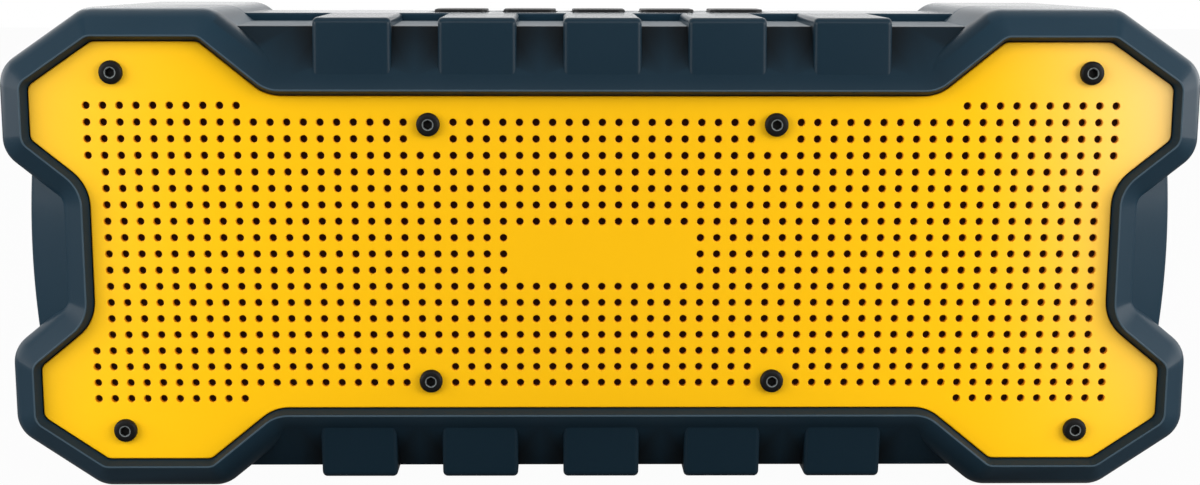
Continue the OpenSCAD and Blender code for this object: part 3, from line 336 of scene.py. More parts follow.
def moulded(name, dark, light, rough, grain, depth, gloss=0.5, film=False):
    """Moulded rubber or plastic: two near shades in soft clouds, a roughness that drifts with them, and a
    fine spark-eroded grain, given as its size and depth in millimetres. Film is a fine skin that shines most
    at a grazing look, as strong as the piece's own film value. A piece's painted light, where it has one, is
    above 0 for a painted highlight that pales its colour and below 0 for painted shade that darkens it."""
    mat, w, shader = new_finish(name)
    cloud = spots(w, 38.0, 3.0)
    fine = spots(w, 1000.0 / grain, 3.0)
    painted_light = w.node("Attribute", {"attribute_name": "painted_light"}, out=2)
    # Painted light: above 0 a painted highlight pales the colour towards a light blue-grey; below 0, here
    # named deep, painted shade darkens it towards near-black.
    painted_highlight, deep = w.sum("MAXIMUM", painted_light, 0.0), w.sum("MAXIMUM", -1.0 * painted_light, 0.0)
    shade = blended(w, cloud * 0.5 + fine * 0.5, dark, light)
    shade = blended(w, 0.12 * painted_highlight, shade, ink(170, 190, 200))
    link(blended(w, 0.85 * deep, shade, ink(4, 9, 13)), shader, "Base Color")
    link(rough + 0.1 * (cloud - 0.5) + 0.1 * (fine - 0.5), shader, "Roughness")
    link(w.node("Bump", Height=fine, Distance=depth * MM, Strength=0.6), shader, "Normal")
    shader.inputs["Specular IOR Level"].default_value = gloss
    if film:
        link(w.node("Attribute", {"attribute_name": "film"}, out=2), shader, "Coat Weight")
        shader.inputs["Coat IOR"].default_value = 1.2
        shader.inputs["Coat Roughness"].default_value = 0.13
    return mat


def points_of(obj):
    """A mesh object's points in millimetres."""
    flat = np.empty(len(obj.data.vertices) * 3)
    obj.data.vertices.foreach_get("co", flat)
    return flat.reshape(-1, 3) / MM


def set_values(obj, name, values):
    """Stores one value for each point of a mesh, for its finish to read."""
    layer = obj.data.attributes.new(name, "FLOAT", "POINT")
    layer.data.foreach_set("value", np.asarray(values, np.float32))


def inside_outline(p, d):
    """Which points lie inside the outline moved outwards by d, in the front view: those from which a ray to
    the right crosses it an odd number of times."""
    a = outline(d)
    b = np.roll(a, -1, 0)
    x, z = p[:, :1], p[:, 2:] - MID_Z
    span = (a[:, 1] > z) != (b[:, 1] > z)
    rise = np.where(b[:, 1] == a[:, 1], 1.0, b[:, 1] - a[:, 1])
    cross = a[:, 0] + (z - a[:, 1]) * (b[:, 0] - a[:, 0]) / rise
    return (span & (x < cross)).sum(1) % 2 == 1


# Levels of painted light on the shells: above 0 a painted highlight, below 0 painted shade.
PAINTED_HIGHLIGHT_LEVEL, WALL_PAINTED_SHADE, BAND_PAINTED_SHADE, UNDER_PAINTED_SHADE = 0.7, -0.4, -0.35, -0.6
FACE_PAINTED_SHADE, HIGH_FACE_PAINTED_SHADE, HIGH_FACE_DEEP = -0.4, -0.8, 7.0
FACE_FROM, CORNER_SHADE, CORNER_FROM, CORNER_OVER = 2.0, 0.75, 3.2, 4.0
FACE_FILM, CROWN_FILM, BELLY_FILM, OUTER_SLANT, INNER_SLANT = 0.08, 0.65, 0.4, 0.4, 0.8


def paint_light_and_film(obj, crest_y, wall_deep):
    """The crest and the ledges get a painted highlight. The wall inside the crest, the band above the panel
    and the faces behind the ribs get painted shade, more so higher up a face and beside a rib. The film is
    slight on these, on the front ribs' tops and on the side waists. On slanted flanks it falls with the
    product of the normal's squared side and upward parts, less where a flank faces away from the middle."""
    p = points_of(obj)
    normal = np.empty(len(p) * 3)
    obj.data.vertex_normals.foreach_get("vector", normal)
    normal = normal.reshape(-1, 3)
    wide, deep, high = abs(p[:, 0]), abs(p[:, 1] - crest_y), abs(p[:, 2] - MID_Z)
    inside = inside_outline(p, CREST_IN + 0.1)
    wall = inside & (deep > 0.1) & (deep < wall_deep)
    crest = deep < 0.04

    brow = CREASE_Y + FACE_LEAN - FRONT_Y
    between = (wide < BLOCK_HW) & ~inside
    ledge = between & (abs(high - LEDGE_HH) < LEDGE_RISE + 0.05) & (deep > brow + 0.3)
    leaning = between & (high > CREASE_HH - SINK) & (deep > FACE_FROM) & (deep < brow + 0.3)
    face, under = leaning & (high < LEDGE_HH), leaning & (p[:, 2] < MID_Z)
    beside = (face | under) & (abs(abs(p[:, :1] - RIB_XS) - RIB_W / 2).min(1) < 0.03)
    band = (wide < LOBE_IN_X - 4) & ~inside & (p[:, 2] > MID_Z) & (deep < brow)
    # Painted highlight on the crest and the ledges; painted shade on the wall inside the crest, the band
    # above the panel, the faces behind the ribs and beside each rib, darker further back.
    face_painted_shade = np.where(deep > HIGH_FACE_DEEP, HIGH_FACE_PAINTED_SHADE, FACE_PAINTED_SHADE)
    beside_painted_shade = FACE_PAINTED_SHADE - CORNER_SHADE * np.clip((deep - CORNER_FROM) / CORNER_OVER, 0, 1)
    painted_light = np.select([wall, ledge | crest, beside, under, face, band],
                     [WALL_PAINTED_SHADE, PAINTED_HIGHLIGHT_LEVEL, beside_painted_shade, UNDER_PAINTED_SHADE, face_painted_shade, BAND_PAINTED_SHADE], 0.0)
    set_values(obj, "painted_light", painted_light)

    front = between & (deep > FACE_FROM) & (deep < brow) & (high < LEDGE_HH + 0.5)
    crown = between & (high > LEDGE_HH + 0.5) & (crest_y < 0)
    belly = (wide > CREASE_HW - SINK) & (high < SIDE_HH + 1) & (deep > 4)
    film = np.select([wall | ledge, front, crown, belly], [0.0, FACE_FILM, CROWN_FILM, BELLY_FILM], 1.0)
    slant = 4 * normal[:, 0] ** 2 * normal[:, 2] ** 2
    slant *= np.where(normal[:, 0] * p[:, 0] > 0, OUTER_SLANT, INNER_SLANT)
    set_values(obj, "film", film * (1 - slant))


def dress(obj, mat):
    """Gives a piece its one material."""
    obj.data.materials.clear()
    obj.data.materials.append(mat)


navy_rubber = moulded(
    "navy_rubber_skin", ink(15, 39, 53), ink(22, 47, 61), 0.48, 0.35, 0.02, gloss=0.12, film=True)
CREST_R, CREST_FLAT, CORE_REACH = 0.2, 0.3, 4.0
front_shell = dressed_body(
    "front_shell_skin", 1, lambda hh: [[SPLIT_Y, LEDGE_HH + LEDGE_RISE, 0.3]], SPLIT_Y,
    [[CREST_OUT - CREST_FLAT, FRONT_Y], [CREST_OUT, FRONT_Y], [RIM_REACH, FRONT_Y + BEVEL_DEEP],
     [RIM_REACH, SPLIT_Y], [CORE_REACH, SPLIT_Y]],
    [0, CREST_R, EDGE_R, SEAM_R, 0],
)
DRIVER_X, DRIVER_HOLE_R, BAFFLE_Y, BAFFLE_BACK_Y, FRONT_ROOM_IN = 76.0, 29.5, -37.0, -33.0, 2.4
TALL_HW, TALL_LOW, TALL_HIGH = 116.9, 9.2, 109.2
WIDE_HW, WIDE_LOW, WIDE_HIGH = 135.7, 24.9, 93.5
BOSS_R, INSERT_R, INSERT_END_Y = 4.2, 2.2, -39.5
CORNERS = [(sx, sz) for sx in (-1, 1) for sz in (-1, 1)]
WAIST_SCREW, LOBE_SCREW = (42, 31.5), (117.6, 43.9)
PANEL_SCREWS = np.array([[sx * x, sz * z] for x, z in (WAIST_SCREW, LOBE_SCREW) for sx, sz in CORNERS])
cuts = [recess("panel_room", [FRONT_Y + SEAT_DEEP, FRONT_Y + PANEL_RECESS], FRONT_Y),
        loft("front_room", [at_depth(outline(-FRONT_ROOM_IN), y) for y in (FRONT_Y + 4, BAFFLE_Y)])]
cuts += [rod(f"driver_hole{s}", (s * DRIVER_X, 0), DRIVER_HOLE_R, BAFFLE_Y - 1, BAFFLE_BACK_Y + 1, sides=72)
         for s in (-1, 1)]
cuts += [box("tall_room", (-TALL_HW, BAFFLE_BACK_Y, TALL_LOW), (TALL_HW, SPLIT_Y + 1, TALL_HIGH)),
         box("wide_room", (-WIDE_HW, BAFFLE_BACK_Y, WIDE_LOW), (WIDE_HW, SPLIT_Y + 1, WIDE_HIGH))]
carved(front_shell, cuts, "DIFFERENCE")
bosses = [rod(f"boss{i}", p, BOSS_R, FRONT_Y + 4.5, BAFFLE_Y + 1) for i, p in enumerate(PANEL_SCREWS)]
carved(front_shell, bosses, "UNION")
bores = [rod(f"insert_hole{i}", p, INSERT_R, FRONT_Y + 4, INSERT_END_Y) for i, p in enumerate(PANEL_SCREWS)]
carved(front_shell, bores, "DIFFERENCE")
paint_light_and_film(front_shell, FRONT_Y, SEAT_DEEP + 0.5)
dress(front_shell, navy_rubber)
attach(front_shell, "speaker")
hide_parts("front_housing")


# The rear shell: the same moulding turned round, with a raised deck for the buttons, room for the boards and
# the cells, and a walled bay for the sockets in its back. Four screws go through its lobes into the front.
def deck(hh):
    """The corners of the raised deck behind the ledge, laid out for the front, each with its radius."""
    return [[-DECK_BACK_Y, LEDGE_HH + LEDGE_RISE, 0.5], [-DECK_BACK_Y, hh, 0.6], [-SPLIT_Y, hh, 0.5]]


rear_shell = dressed_body(
    "rear_shell_skin", -1, deck, -DECK_BACK_Y + 1,
    [[CORE_REACH, SPLIT_Y], [RIM_REACH, SPLIT_Y], [RIM_REACH, BACK_Y - BEVEL_DEEP],
     [CREST_OUT, BACK_Y], [CREST_OUT - CREST_FLAT, BACK_Y]],
    [0, SEAM_R, EDGE_R, CREST_R, 0],
)
ROOM_BACK_Y, POCKET_HW, POCKET_LOW, POCKET_HIGH, POCKET_BACK_Y = 36, 116, 20.9, 97.5, 43
BAY_Z, BAY_HW, BAY_HH, BAY_WALL = 41.2, 23.0, 8.0, 2.0
BAY_FLOOR_Y, BAY_WALL_Y, BAY_MOUTH_Y = 37.0, 46.0, 48.0
SOCKET_X, AUDIO_R, CHARGE_R, CHARGE_HW, SOCKET_YS = 10, 3.3, 1.95, 2.85, (33, 41)
CASE_SCREW_X, CASE_SCREW_Z, CASE_HOLE_R, CASE_HOLE_YS = 125.9, 43.3, 3.05, (21, 51)
BUTTON_XS, BUTTON_Y = (np.arange(5) - 2) * 18.1, (SPLIT_Y + DECK_BACK_Y) / 2
BUTTON_W, BUTTON_D, BUTTON_R, BUTTON_FIT, DECK_ZS = 13.8, 16.0, 2.0, 0.4, (108, 120)
cuts = [recess("back_room", [BACK_Y - PANEL_RECESS], BACK_Y),
        box("tall_room", (-TALL_HW, SPLIT_Y - 1, TALL_LOW), (TALL_HW, ROOM_BACK_Y, TALL_HIGH)),
        box("wide_room", (-WIDE_HW, SPLIT_Y - 1, WIDE_LOW), (WIDE_HW, ROOM_BACK_Y, WIDE_HIGH)),
        box("back_pocket", (-POCKET_HW, SPLIT_Y, POCKET_LOW), (POCKET_HW, POCKET_BACK_Y, POCKET_HIGH))]
carved(rear_shell, cuts, "DIFFERENCE")
wall_hw, wall_hh = BAY_HW + BAY_WALL, BAY_HH + BAY_WALL
bay_walls = box("bay_walls", (-wall_hw, ROOM_BACK_Y - 1, BAY_Z - wall_hh),
                (wall_hw, BAY_WALL_Y, BAY_Z + wall_hh))
carved(rear_shell, [bay_walls], "UNION")
charge_xs = (-SOCKET_X - CHARGE_HW, -SOCKET_X + CHARGE_HW)
socket_z = BAY_Z - MID_Z
cuts = [box("bay_room", (-BAY_HW, BAY_FLOOR_Y, BAY_Z - BAY_HH), (BAY_HW, BAY_MOUTH_Y, BAY_Z + BAY_HH)),
        rod("audio_hole", (SOCKET_X, socket_z), AUDIO_R, *SOCKET_YS)]
cuts += [rod(f"charge_hole{i}", (x, socket_z), CHARGE_R, *SOCKET_YS) for i, x in enumerate(charge_xs)]
cuts += [box("charge_hole", (charge_xs[0], SOCKET_YS[0], BAY_Z - CHARGE_R),
             (charge_xs[1], SOCKET_YS[1], BAY_Z + CHARGE_R))]
cuts += [rod(f"case_hole{i}", (sx * CASE_SCREW_X, sz * CASE_SCREW_Z), CASE_HOLE_R, *CASE_HOLE_YS)
         for i, (sx, sz) in enumerate(CORNERS)]


def rounded_slab(w, d, r):
    """A rectangle with rounded corners, round the origin."""
    c = np.array([[-1, -1], [1, -1], [1, 1], [-1, 1]]) * (w / 2, d / 2)
    return fillet(c, [r] * 4, steps=6, closed=True, hold=0.05)


hole = rounded_slab(BUTTON_W + 2 * BUTTON_FIT, BUTTON_D + 2 * BUTTON_FIT, BUTTON_R + BUTTON_FIT)
cuts += [loft(f"button_hole{i}", [np.c_[hole + (x, BUTTON_Y), np.full(len(hole), z)] for z in DECK_ZS])
         for i, x in enumerate(BUTTON_XS)]
carved(rear_shell, cuts, "DIFFERENCE")
paint_light_and_film(rear_shell, BACK_Y, PANEL_RECESS - 0.5)
dress(rear_shell, navy_rubber)
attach(rear_shell, "speaker")
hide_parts("rear_housing")


# The front panel: 1.5 mm sheet steel, punched from the painted side and powder-coated yellow. It drops
# into the rim and is held by eight screws; each punched hole has a rolled edge where the punch went in.
PANEL_Y, PANEL_T, HOLE_PITCH, HOLE_R = FRONT_Y + PANEL_RECESS, 1.5, 4.0, 0.91
HOLE_EDGE, SLOPE_EDGE, SCREW_EDGE, SCREW_HOLE_R = 3.8, 5.5, 5.0, 1.7
HOLE_ROLL = ((1.26, 0.0), (1.07, 0.06), (1.0, 0.2))
FIELD_HW, FIELD_HH, BARE_HW, BARE_HH = 124.5, 36.5, 21.0, 5.0


def hole_mask(x, z):
    """Where the panel has a hole: inside its waist or lobes by a clearance from each edge, clear of the
    screws and of the bare middle. The sloped edges count by their distance along the normal."""
    near = np.hypot(x[..., None] - PANEL_SCREWS[:, 0], z[..., None] - PANEL_SCREWS[:, 1]).min(-1)
    x, z = abs(x), abs(z)
    waist = (x <= WAIST_HW - HOLE_EDGE) & (z <= WAIST_HH - HOLE_EDGE)
    over_slope = (WAIST_HH - z + (x - NOTCH_X) * NOTCH_RISE) * NOTCH_COS
    over_side = (z - LOBE_LOW + (PANEL_HW - x) * NOTCH_RISE) * NOTCH_COS
    lobe = (over_slope >= SLOPE_EDGE) & (over_side >= HOLE_EDGE) & (x <= PANEL_HW - SLOPE_EDGE)
    bare = (x <= BARE_HW) & (z <= BARE_HH)
    return (waist | lobe) & ~bare & (x <= FIELD_HW) & (z <= FIELD_HH) & (near >= SCREW_EDGE)


def hole_grid():
    """The middles of square cells one pitch apart, and which of them have a hole."""
    reach = np.array([FIELD_HW, FIELD_HH]) // HOLE_PITCH
    grid = np.stack(np.meshgrid(*(np.arange(-n, n + 1) * HOLE_PITCH for n in reach), indexing="ij"), -1)
    return grid, hole_mask(grid[..., 0], grid[..., 1])


def at_flat(xz, y):
    """Front-view points at depth y, still measured from the body's middle."""
    return np.c_[xz[:, 0], np.full(len(xz), y), xz[:, 1]]


def hole_cell(back_y, sides=12):
    """One hole in its square cell: rings from the square to the hole, over its rolled edge, which is given as
    shares of the radius and depths, down its wall and out to the square behind. Gives its points, their share
    of the edge colour of thinner paint and painted shade, and its quads."""
    half = HOLE_PITCH / 2
    one, third = np.full(3, half), np.array([-1, -1 / 3, 1 / 3]) * half
    square = np.concatenate([np.stack(side, 1) for side in (
        (one, third), (-third, one), (-one, -third), (third, -one))])
    a = np.arange(sides) * 2 * np.pi / sides + np.arctan2(square[0, 1], square[0, 0])
    circle = HOLE_R * np.stack([np.cos(a), np.sin(a)], 1)
    rolled = [(share * circle, PANEL_Y + deep) for share, deep in HOLE_ROLL]
    rings = [(square, PANEL_Y), *rolled, (circle, back_y), (square, back_y)]
    points = np.concatenate([at_flat(xz, y) for xz, y in rings])
    return points, np.repeat([0, 0, 0.5, 1, 1, 0], sides), grid_faces(len(rings), sides)[:, ::-1]


def sheet_fill(loop, screw_holes):
    """The rest of the sheet as flat triangles that face one way: between the outline's loop, the screw holes
    and the sides of hole cells that have no neighbour, each of which has four points. Triangles in a cell or
    in a screw hole are left out."""
    grid, mask = hole_grid()
    half = HOLE_PITCH / 2
    along = np.array([-1, -1 / 3, 1 / 3, 1])[:, None] * half
    borders = []
    for step in np.array([(1, 0), (-1, 0), (0, 1), (0, -1)]):
        beyond = np.roll(np.pad(mask, 1), tuple(-step), (0, 1))[1:-1, 1:-1]
        borders.append(grid[mask & ~beyond][:, None] + step * half + step[::-1] * along)
    borders = np.concatenate(borders)
    rings = [loop, *screw_holes]
    first = np.cumsum([0] + [len(ring) for ring in rings])
    counts = [np.arange(len(ring)) for ring in rings]
    edges = [start + np.stack([n, np.roll(n, -1)], 1) for start, n in zip(first, counts)]
    base = first[-1] + 4 * np.arange(len(borders))
    edges += [np.stack([base + i, base + i + 1], 1) for i in range(3)]
    flat = np.concatenate([*rings, borders.reshape(-1, 2)])
    flat, where = np.unique(np.round(flat, 4), axis=0, return_inverse=True)
    edges = where.reshape(-1)[np.concatenate(edges)]
    made = delaunay_2d_cdt([tuple(p) for p in flat.tolist()], edges.tolist(), [], 1, 1e-5)
    fill = np.array([[p.x, p.y] for p in made[0]])
    tris = np.array(made[2])
    mid = fill[tris].mean(1)
    at = np.round((mid - grid[0, 0]) / HOLE_PITCH).astype(int)
    on_grid = (at >= 0).all(1) & (at < mask.shape).all(1)
    in_cell = on_grid & mask[tuple(np.clip(at, 0, np.array(mask.shape) - 1).T)]
    from_screw = np.hypot(*(mid[:, None] - PANEL_SCREWS).transpose(2, 0, 1)).min(1)
    tris = tris[~in_cell & (from_screw > SCREW_HOLE_R - 0.05)]
    a, b, c = (fill[tris[:, i]] for i in range(3))
    spun = (b - a)[:, 0] * (c - a)[:, 1] - (b - a)[:, 1] * (c - a)[:, 0] < 0
    tris[spun] = tris[spun][:, ::-1]
    return fill, tris


def panel_mesh(screw_sides=24, edge=0.3):
    """The punched sheet: a cell for each hole, the fill in front and behind, and rings along the outline's
    rounded edge and the screw holes' walls, with points that meet merged. The edge share of each point, which
    is 1 on edges and walls and 0 on the faces, comes with it; it marks thinner paint and painted shade."""
    back_y = PANEL_Y + PANEL_T
    t = np.linspace(0, 2 * np.pi, screw_sides, endpoint=False)
    screw_holes = [p + SCREW_HOLE_R * np.stack([np.cos(t), np.sin(t)], 1) for p in PANEL_SCREWS]
    profile = ((edge, PANEL_Y), (0.3 * edge, PANEL_Y + 0.3 * edge), (0, PANEL_Y + edge),
               (0, back_y - edge), (edge, back_y))
    walls = [np.stack([at_flat(outline(-d), y) for d, y in profile])]
    walls += [np.stack([at_flat(h, y) for y in (PANEL_Y, back_y)]) for h in screw_holes]

    grid, mask = hole_grid()
    cell, cell_edge_thin_paint_and_shade, cell_quads = hole_cell(back_y)
    cells = cell + at_flat(grid[mask], 0)[:, None]
    starts = np.arange(len(cells)) * len(cell)
    verts, edge_thin_paint_and_shade = [cells.reshape(-1, 3)], [np.tile(cell_edge_thin_paint_and_shade, len(cells))]
    quads, count = [(cell_quads + starts[:, None, None]).reshape(-1, 4)], cells.size // 3
    for i, wall in enumerate(walls):
        k, n = wall.shape[:2]
        verts.append(wall.reshape(-1, 3))
        edge_thin_paint_and_shade.append(np.repeat([0, 0.5, 1, 1, 0] if i == 0 else [0, 1], n))
        rows = grid_faces(k, n, count)
        quads.append(rows if i == 0 else rows[:, ::-1])
        count += k * n
    fill, fill_tris = sheet_fill(outline(-edge), screw_holes)
    tris = []
    for y, order in ((PANEL_Y, slice(None)), (back_y, slice(None, None, -1))):
        verts.append(at_flat(fill, y))
        edge_thin_paint_and_shade.append(np.zeros(len(fill)))
        tris.append(fill_tris[:, order] + count)
        count += len(fill)
    verts, kept, where = np.unique(
        np.round(np.concatenate(verts), 4), axis=0, return_index=True, return_inverse=True)
    where = where.reshape(-1)
    faces = where[np.concatenate(quads)].tolist() + where[np.concatenate(tris)].tolist()
    verts[:, 2] += MID_Z
    return verts, faces, np.concatenate(edge_thin_paint_and_shade)[kept]


panel_verts, panel_faces, panel_edge_thin_paint_and_shade = panel_mesh()
panel = piece("front_panel_sheet", panel_verts, panel_faces, angle=12.0)
set_values(panel, "edge_thin_paint_and_shade", panel_edge_thin_paint_and_shade)


# Painted light on the panel: brighter towards the ends, and a painted reflection that pales the ends, more on
# the right and higher up.
PAINTED_LIGHT_RISE, PAINTED_REFLECTION_RISE, PAINTED_REFLECTION_FROM, PAINTED_REFLECTION_RIGHT, PAINTED_REFLECTION_LEFT = 60.0, 20.0, 1.7, 2.4, 0.45


def powder_coat(name, paint, painted_lit_colour, thin_paint_and_shade_colour):
    """Powder paint: its colour drifts a little in broad clouds; as painted light it grows brighter with the
    square of the distance from the middle; as a painted reflection it pales towards both ends, more on the
    right and higher up; on rolled and cut edges and hole walls it turns to a warmer, darker shade, partly
    thinner paint and partly painted shade; and it has the fine ripple of sprayed powder."""
    mat, w, shader = new_finish(name)
    cloud = spots(w, 22.0, 2.0)
    ripple = spots(w, 1400.0, 1.0)
    edges = w.node("Attribute", {"attribute_name": "edge_thin_paint_and_shade"}, out=2)
    place = w.node("TexCoord", out=3)
    across, up = w.node("SeparateXYZ", Vector=place), w.node("SeparateXYZ", Vector=place, out=2)
    right, left = (w.sum("MAXIMUM", hand * PAINTED_REFLECTION_RISE * across - PAINTED_REFLECTION_FROM, 0.0) for hand in (1, -1))
    # Painted light: the colour turns brighter with the square of the distance from the middle.
    shade = blended(w, PAINTED_LIGHT_RISE * across * across + 0.15 * cloud, paint, painted_lit_colour)
    # Painted reflection: the ends pale towards warm white, more on the right and higher up.
    pale = (PAINTED_REFLECTION_RIGHT * right * right + PAINTED_REFLECTION_LEFT * left * left) * up
    shade = blended(w, pale, shade, ink(255, 244, 224))
    # Rolled edges and hole walls turn a warmer, darker orange: partly thinner paint, partly painted shade.
    link(blended(w, 0.75 * edges, shade, thin_paint_and_shade_colour), shader, "Base Color")
    link(0.34 + 0.08 * cloud + 0.05 * ripple, shader, "Roughness")
    link(w.node("Bump", Height=ripple, Distance=0.004 * MM, Strength=0.5), shader, "Normal")
    shader.inputs["Specular IOR Level"].default_value = 0.14
    return mat


dress(panel, powder_coat("yellow_powder_coat", ink(227, 172, 8), ink(246, 190, 8), ink(204, 112, 6)))
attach(panel, "speaker")
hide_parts("grille_panel")


# The eight panel screws: M3 button heads with a hexagon socket, turned from steel and blackened in oil.
# They pass through the sheet into brass inserts in bosses of the front shell.
HEAD_R, HEAD_H, HEX_KEY, HEX_DEEP, MOUTH_R, SHANK_R = 2.85, 1.65, 2.0, 1.0, 1.45, 1.5
PANEL_SCREW_L, MOUTH_BEVEL, DOME_FOOT, FOOT_BEVEL, TIP_BEVEL = 9.0, 0.14, 0.35, 0.12, 0.4


def socket_screw(length, sides=48):
    """A button-head screw in its own frame, its head above the origin: rings of radius and height from the
    socket's floor to the shank's tip. A ring of the socket is a hexagon, whose radius is the half key over
    the cosine of the angle from the nearest flat."""
    a = np.arange(sides) * 2 * np.pi / sides
    hexagon = HEX_KEY / 2 / np.cos((a + np.pi / 6) % (np.pi / 3) - np.pi / 6)
    t = np.radians(np.linspace(12, 90, 9))
    dome = np.stack([MOUTH_R + (HEAD_R - MOUTH_R) * np.sin(t),
                     DOME_FOOT + (HEAD_H - DOME_FOOT) * np.cos(t) ** 0.45], 1)
    round_rings = [
        (MOUTH_R - MOUTH_BEVEL, HEAD_H - 0.04), (MOUTH_R, HEAD_H), *dome, (HEAD_R, FOOT_BEVEL),
        (HEAD_R - FOOT_BEVEL, 0.0), (SHANK_R, 0.0), (SHANK_R, TIP_BEVEL - length),
        (SHANK_R - TIP_BEVEL, -length),
    ]
    circle = np.stack([np.cos(a), np.sin(a)], 1)
    rings = [np.c_[hexagon[:, None] * circle, np.full(sides, z)] for z in (HEAD_H - HEX_DEEP, HEAD_H - 0.12)]
    rings += [np.c_[r * circle, np.full(sides, z)] for r, z in round_rings]
    return np.array(rings)


def solid_group(name, groups):
    """Several closed solids in one mesh, each from its own rings, capped flat at both ends."""
    made = [loft(f"{name}_{i}", rings) for i, rings in enumerate(groups)]
    verts, faces, count = [], [], 0
    for obj in made:
        verts.append(points_of(obj))
        faces += [[count + i for i in f.vertices] for f in obj.data.polygons]
        count += len(obj.data.vertices)
        bpy.data.objects.remove(obj)
    return piece(name, np.concatenate(verts), faces)


def facing_front(rings, xz, y):
    """Turns a piece whose own z points out of the front panel, and sets it at a front-view point."""
    return np.stack([rings[..., 0] + xz[0], y - rings[..., 2], rings[..., 1] + xz[1] + MID_Z], -1)


def metal(name, dark, light, rough, metallic=1.0, grain=900.0, painted_highlight=None, gloss=0.5):
    """Machined or blackened metal: two shades in fine specks, and a roughness that drifts in clouds. Where a
    piece's painted light is 1, its painted highlight colour shows."""
    mat, w, shader = new_finish(name)
    fine = spots(w, grain, 3.0)
    cloud = spots(w, 120.0, 2.0)
    painted_light = w.node("Attribute", {"attribute_name": "painted_light"}, out=2)
    shade = blended(w, 0.6 * fine + 0.4 * cloud, dark, light)
    # Painted highlight: where the painted light is 1, the colour turns to the pale highlight colour.
    link(blended(w, painted_light, shade, painted_highlight or light), shader, "Base Color")
    link(rough - 0.08 + 0.16 * cloud, shader, "Roughness")
    link(w.node("Bump", Height=fine, Distance=0.005 * MM, Strength=0.4), shader, "Normal")
    shader.inputs["Metallic"].default_value = metallic
    shader.inputs["Specular IOR Level"].default_value = gloss
    return mat


black_steel = metal(
    "blackened_steel", ink(9, 9, 9), ink(20, 19, 18), 0.5, 0.0, painted_highlight=ink(112, 118, 118), gloss=0.15)
screws = solid_group("panel_screws_turned", [
    facing_front(socket_screw(PANEL_SCREW_L), p, PANEL_Y) for p in PANEL_SCREWS])
at = points_of(screws)
from_axis = np.hypot(*(at[:, None, ::2] - (0, MID_Z) - PANEL_SCREWS).transpose(2, 0, 1)).min(1)
# Painted highlight: the ring round each socket's mouth, where its chamfer catches light, is paled.
mouth = (abs(from_axis - MOUTH_R + MOUTH_BEVEL) < 0.03) & (at[:, 1] < PANEL_Y - HEAD_H + 0.1)
set_values(screws, "painted_light", mouth)
dress(screws, black_steel)
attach(screws, "speaker")
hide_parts("grille_screws")


# The acoustic cloth: a black polyester net, stretched flat behind the panel, that keeps dust and splashes
# out and lets the sound through. It is cut round the bosses, and its edge lies inside the foam gasket's.
CLOTH_IN, CLOTH_GAP, CLOTH_T, CLOTH_HOLE_R = 2.7, 0.1, 0.4, 4.5
cloth_y = PANEL_Y + PANEL_T + CLOTH_GAP
cloth_xz = outline(-CLOTH_IN)
cloth = loft("acoustic_cloth", [at_depth(cloth_xz, y) for y in (cloth_y, cloth_y + CLOTH_T)])
holes = [rod(f"cloth_hole{i}", p, CLOTH_HOLE_R, PANEL_Y + 1, PANEL_Y + 3) for i, p in enumerate(PANEL_SCREWS)]
carved(cloth, holes, "DIFFERENCE")


def woven(name, dark, light, pitch, depth):
    """Plain weave: the product of two sine waves, across and up, gives the threads' over and under."""
    mat, w, shader = new_finish(name)
    split = w.node("SeparateXYZ", Vector=w.node("TexCoord", out=3))
    turns = 2 * np.pi / (pitch * MM)
    waves = []
    for axis in (0, 2):
        place = Wire(split.tree, split.out.node.outputs[axis]) * turns
        waves.append(w.node("Math", {"operation": "SINE"}, i0=place))
    thread = 0.5 + 0.5 * (waves[0] * waves[1])
    fuzz = spots(w, 2500.0, 2.0)
    link(blended(w, 0.7 * thread + 0.3 * fuzz, dark, light), shader, "Base Color")
    link(0.85 + 0.1 * (fuzz - 0.5), shader, "Roughness")
    link(w.node("Bump", Height=thread, Distance=depth * MM, Strength=0.8), shader, "Normal")
    shader.inputs["Specular IOR Level"].default_value = 0.15
    return mat


# The net is given a warm brown, lighter than its own black: painted bounce light from the yellow panel in the
# holes.
dress(cloth, woven("black_net", ink(46, 30, 22), ink(66, 44, 32), 0.5, 0.08))
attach(cloth, "speaker")
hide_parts("grille_cloth")
next_xz = np.roll(cloth_xz, -1, 0)
cut_area = 0.5 * abs((cloth_xz[:, 0] * next_xz[:, 1] - cloth_xz[:, 1] * next_xz[:, 0]).sum())
cut_area -= len(PANEL_SCREWS) * np.pi * CLOTH_HOLE_R ** 2
cut_area * MM * MM


# The five push-buttons: moulded black rubber caps, each with a lip that keeps it under the deck and a
# stem that reaches its switch. They slide in rounded openings of the rear shell.
BUTTON_TOP, LIP_TOP, LIP_T, LIP_W, STEM_R, STEM_L = 117.3, 108.9, 1.2, 1.1, 2.0, 1.3
CAP_EDGE, CAP_CROWN = 0.35, 0.12
black_rubber = moulded("black_rubber_skin", ink(12, 13, 15), ink(22, 23, 25), 0.5, 0.3, 0.02, gloss=0.25)


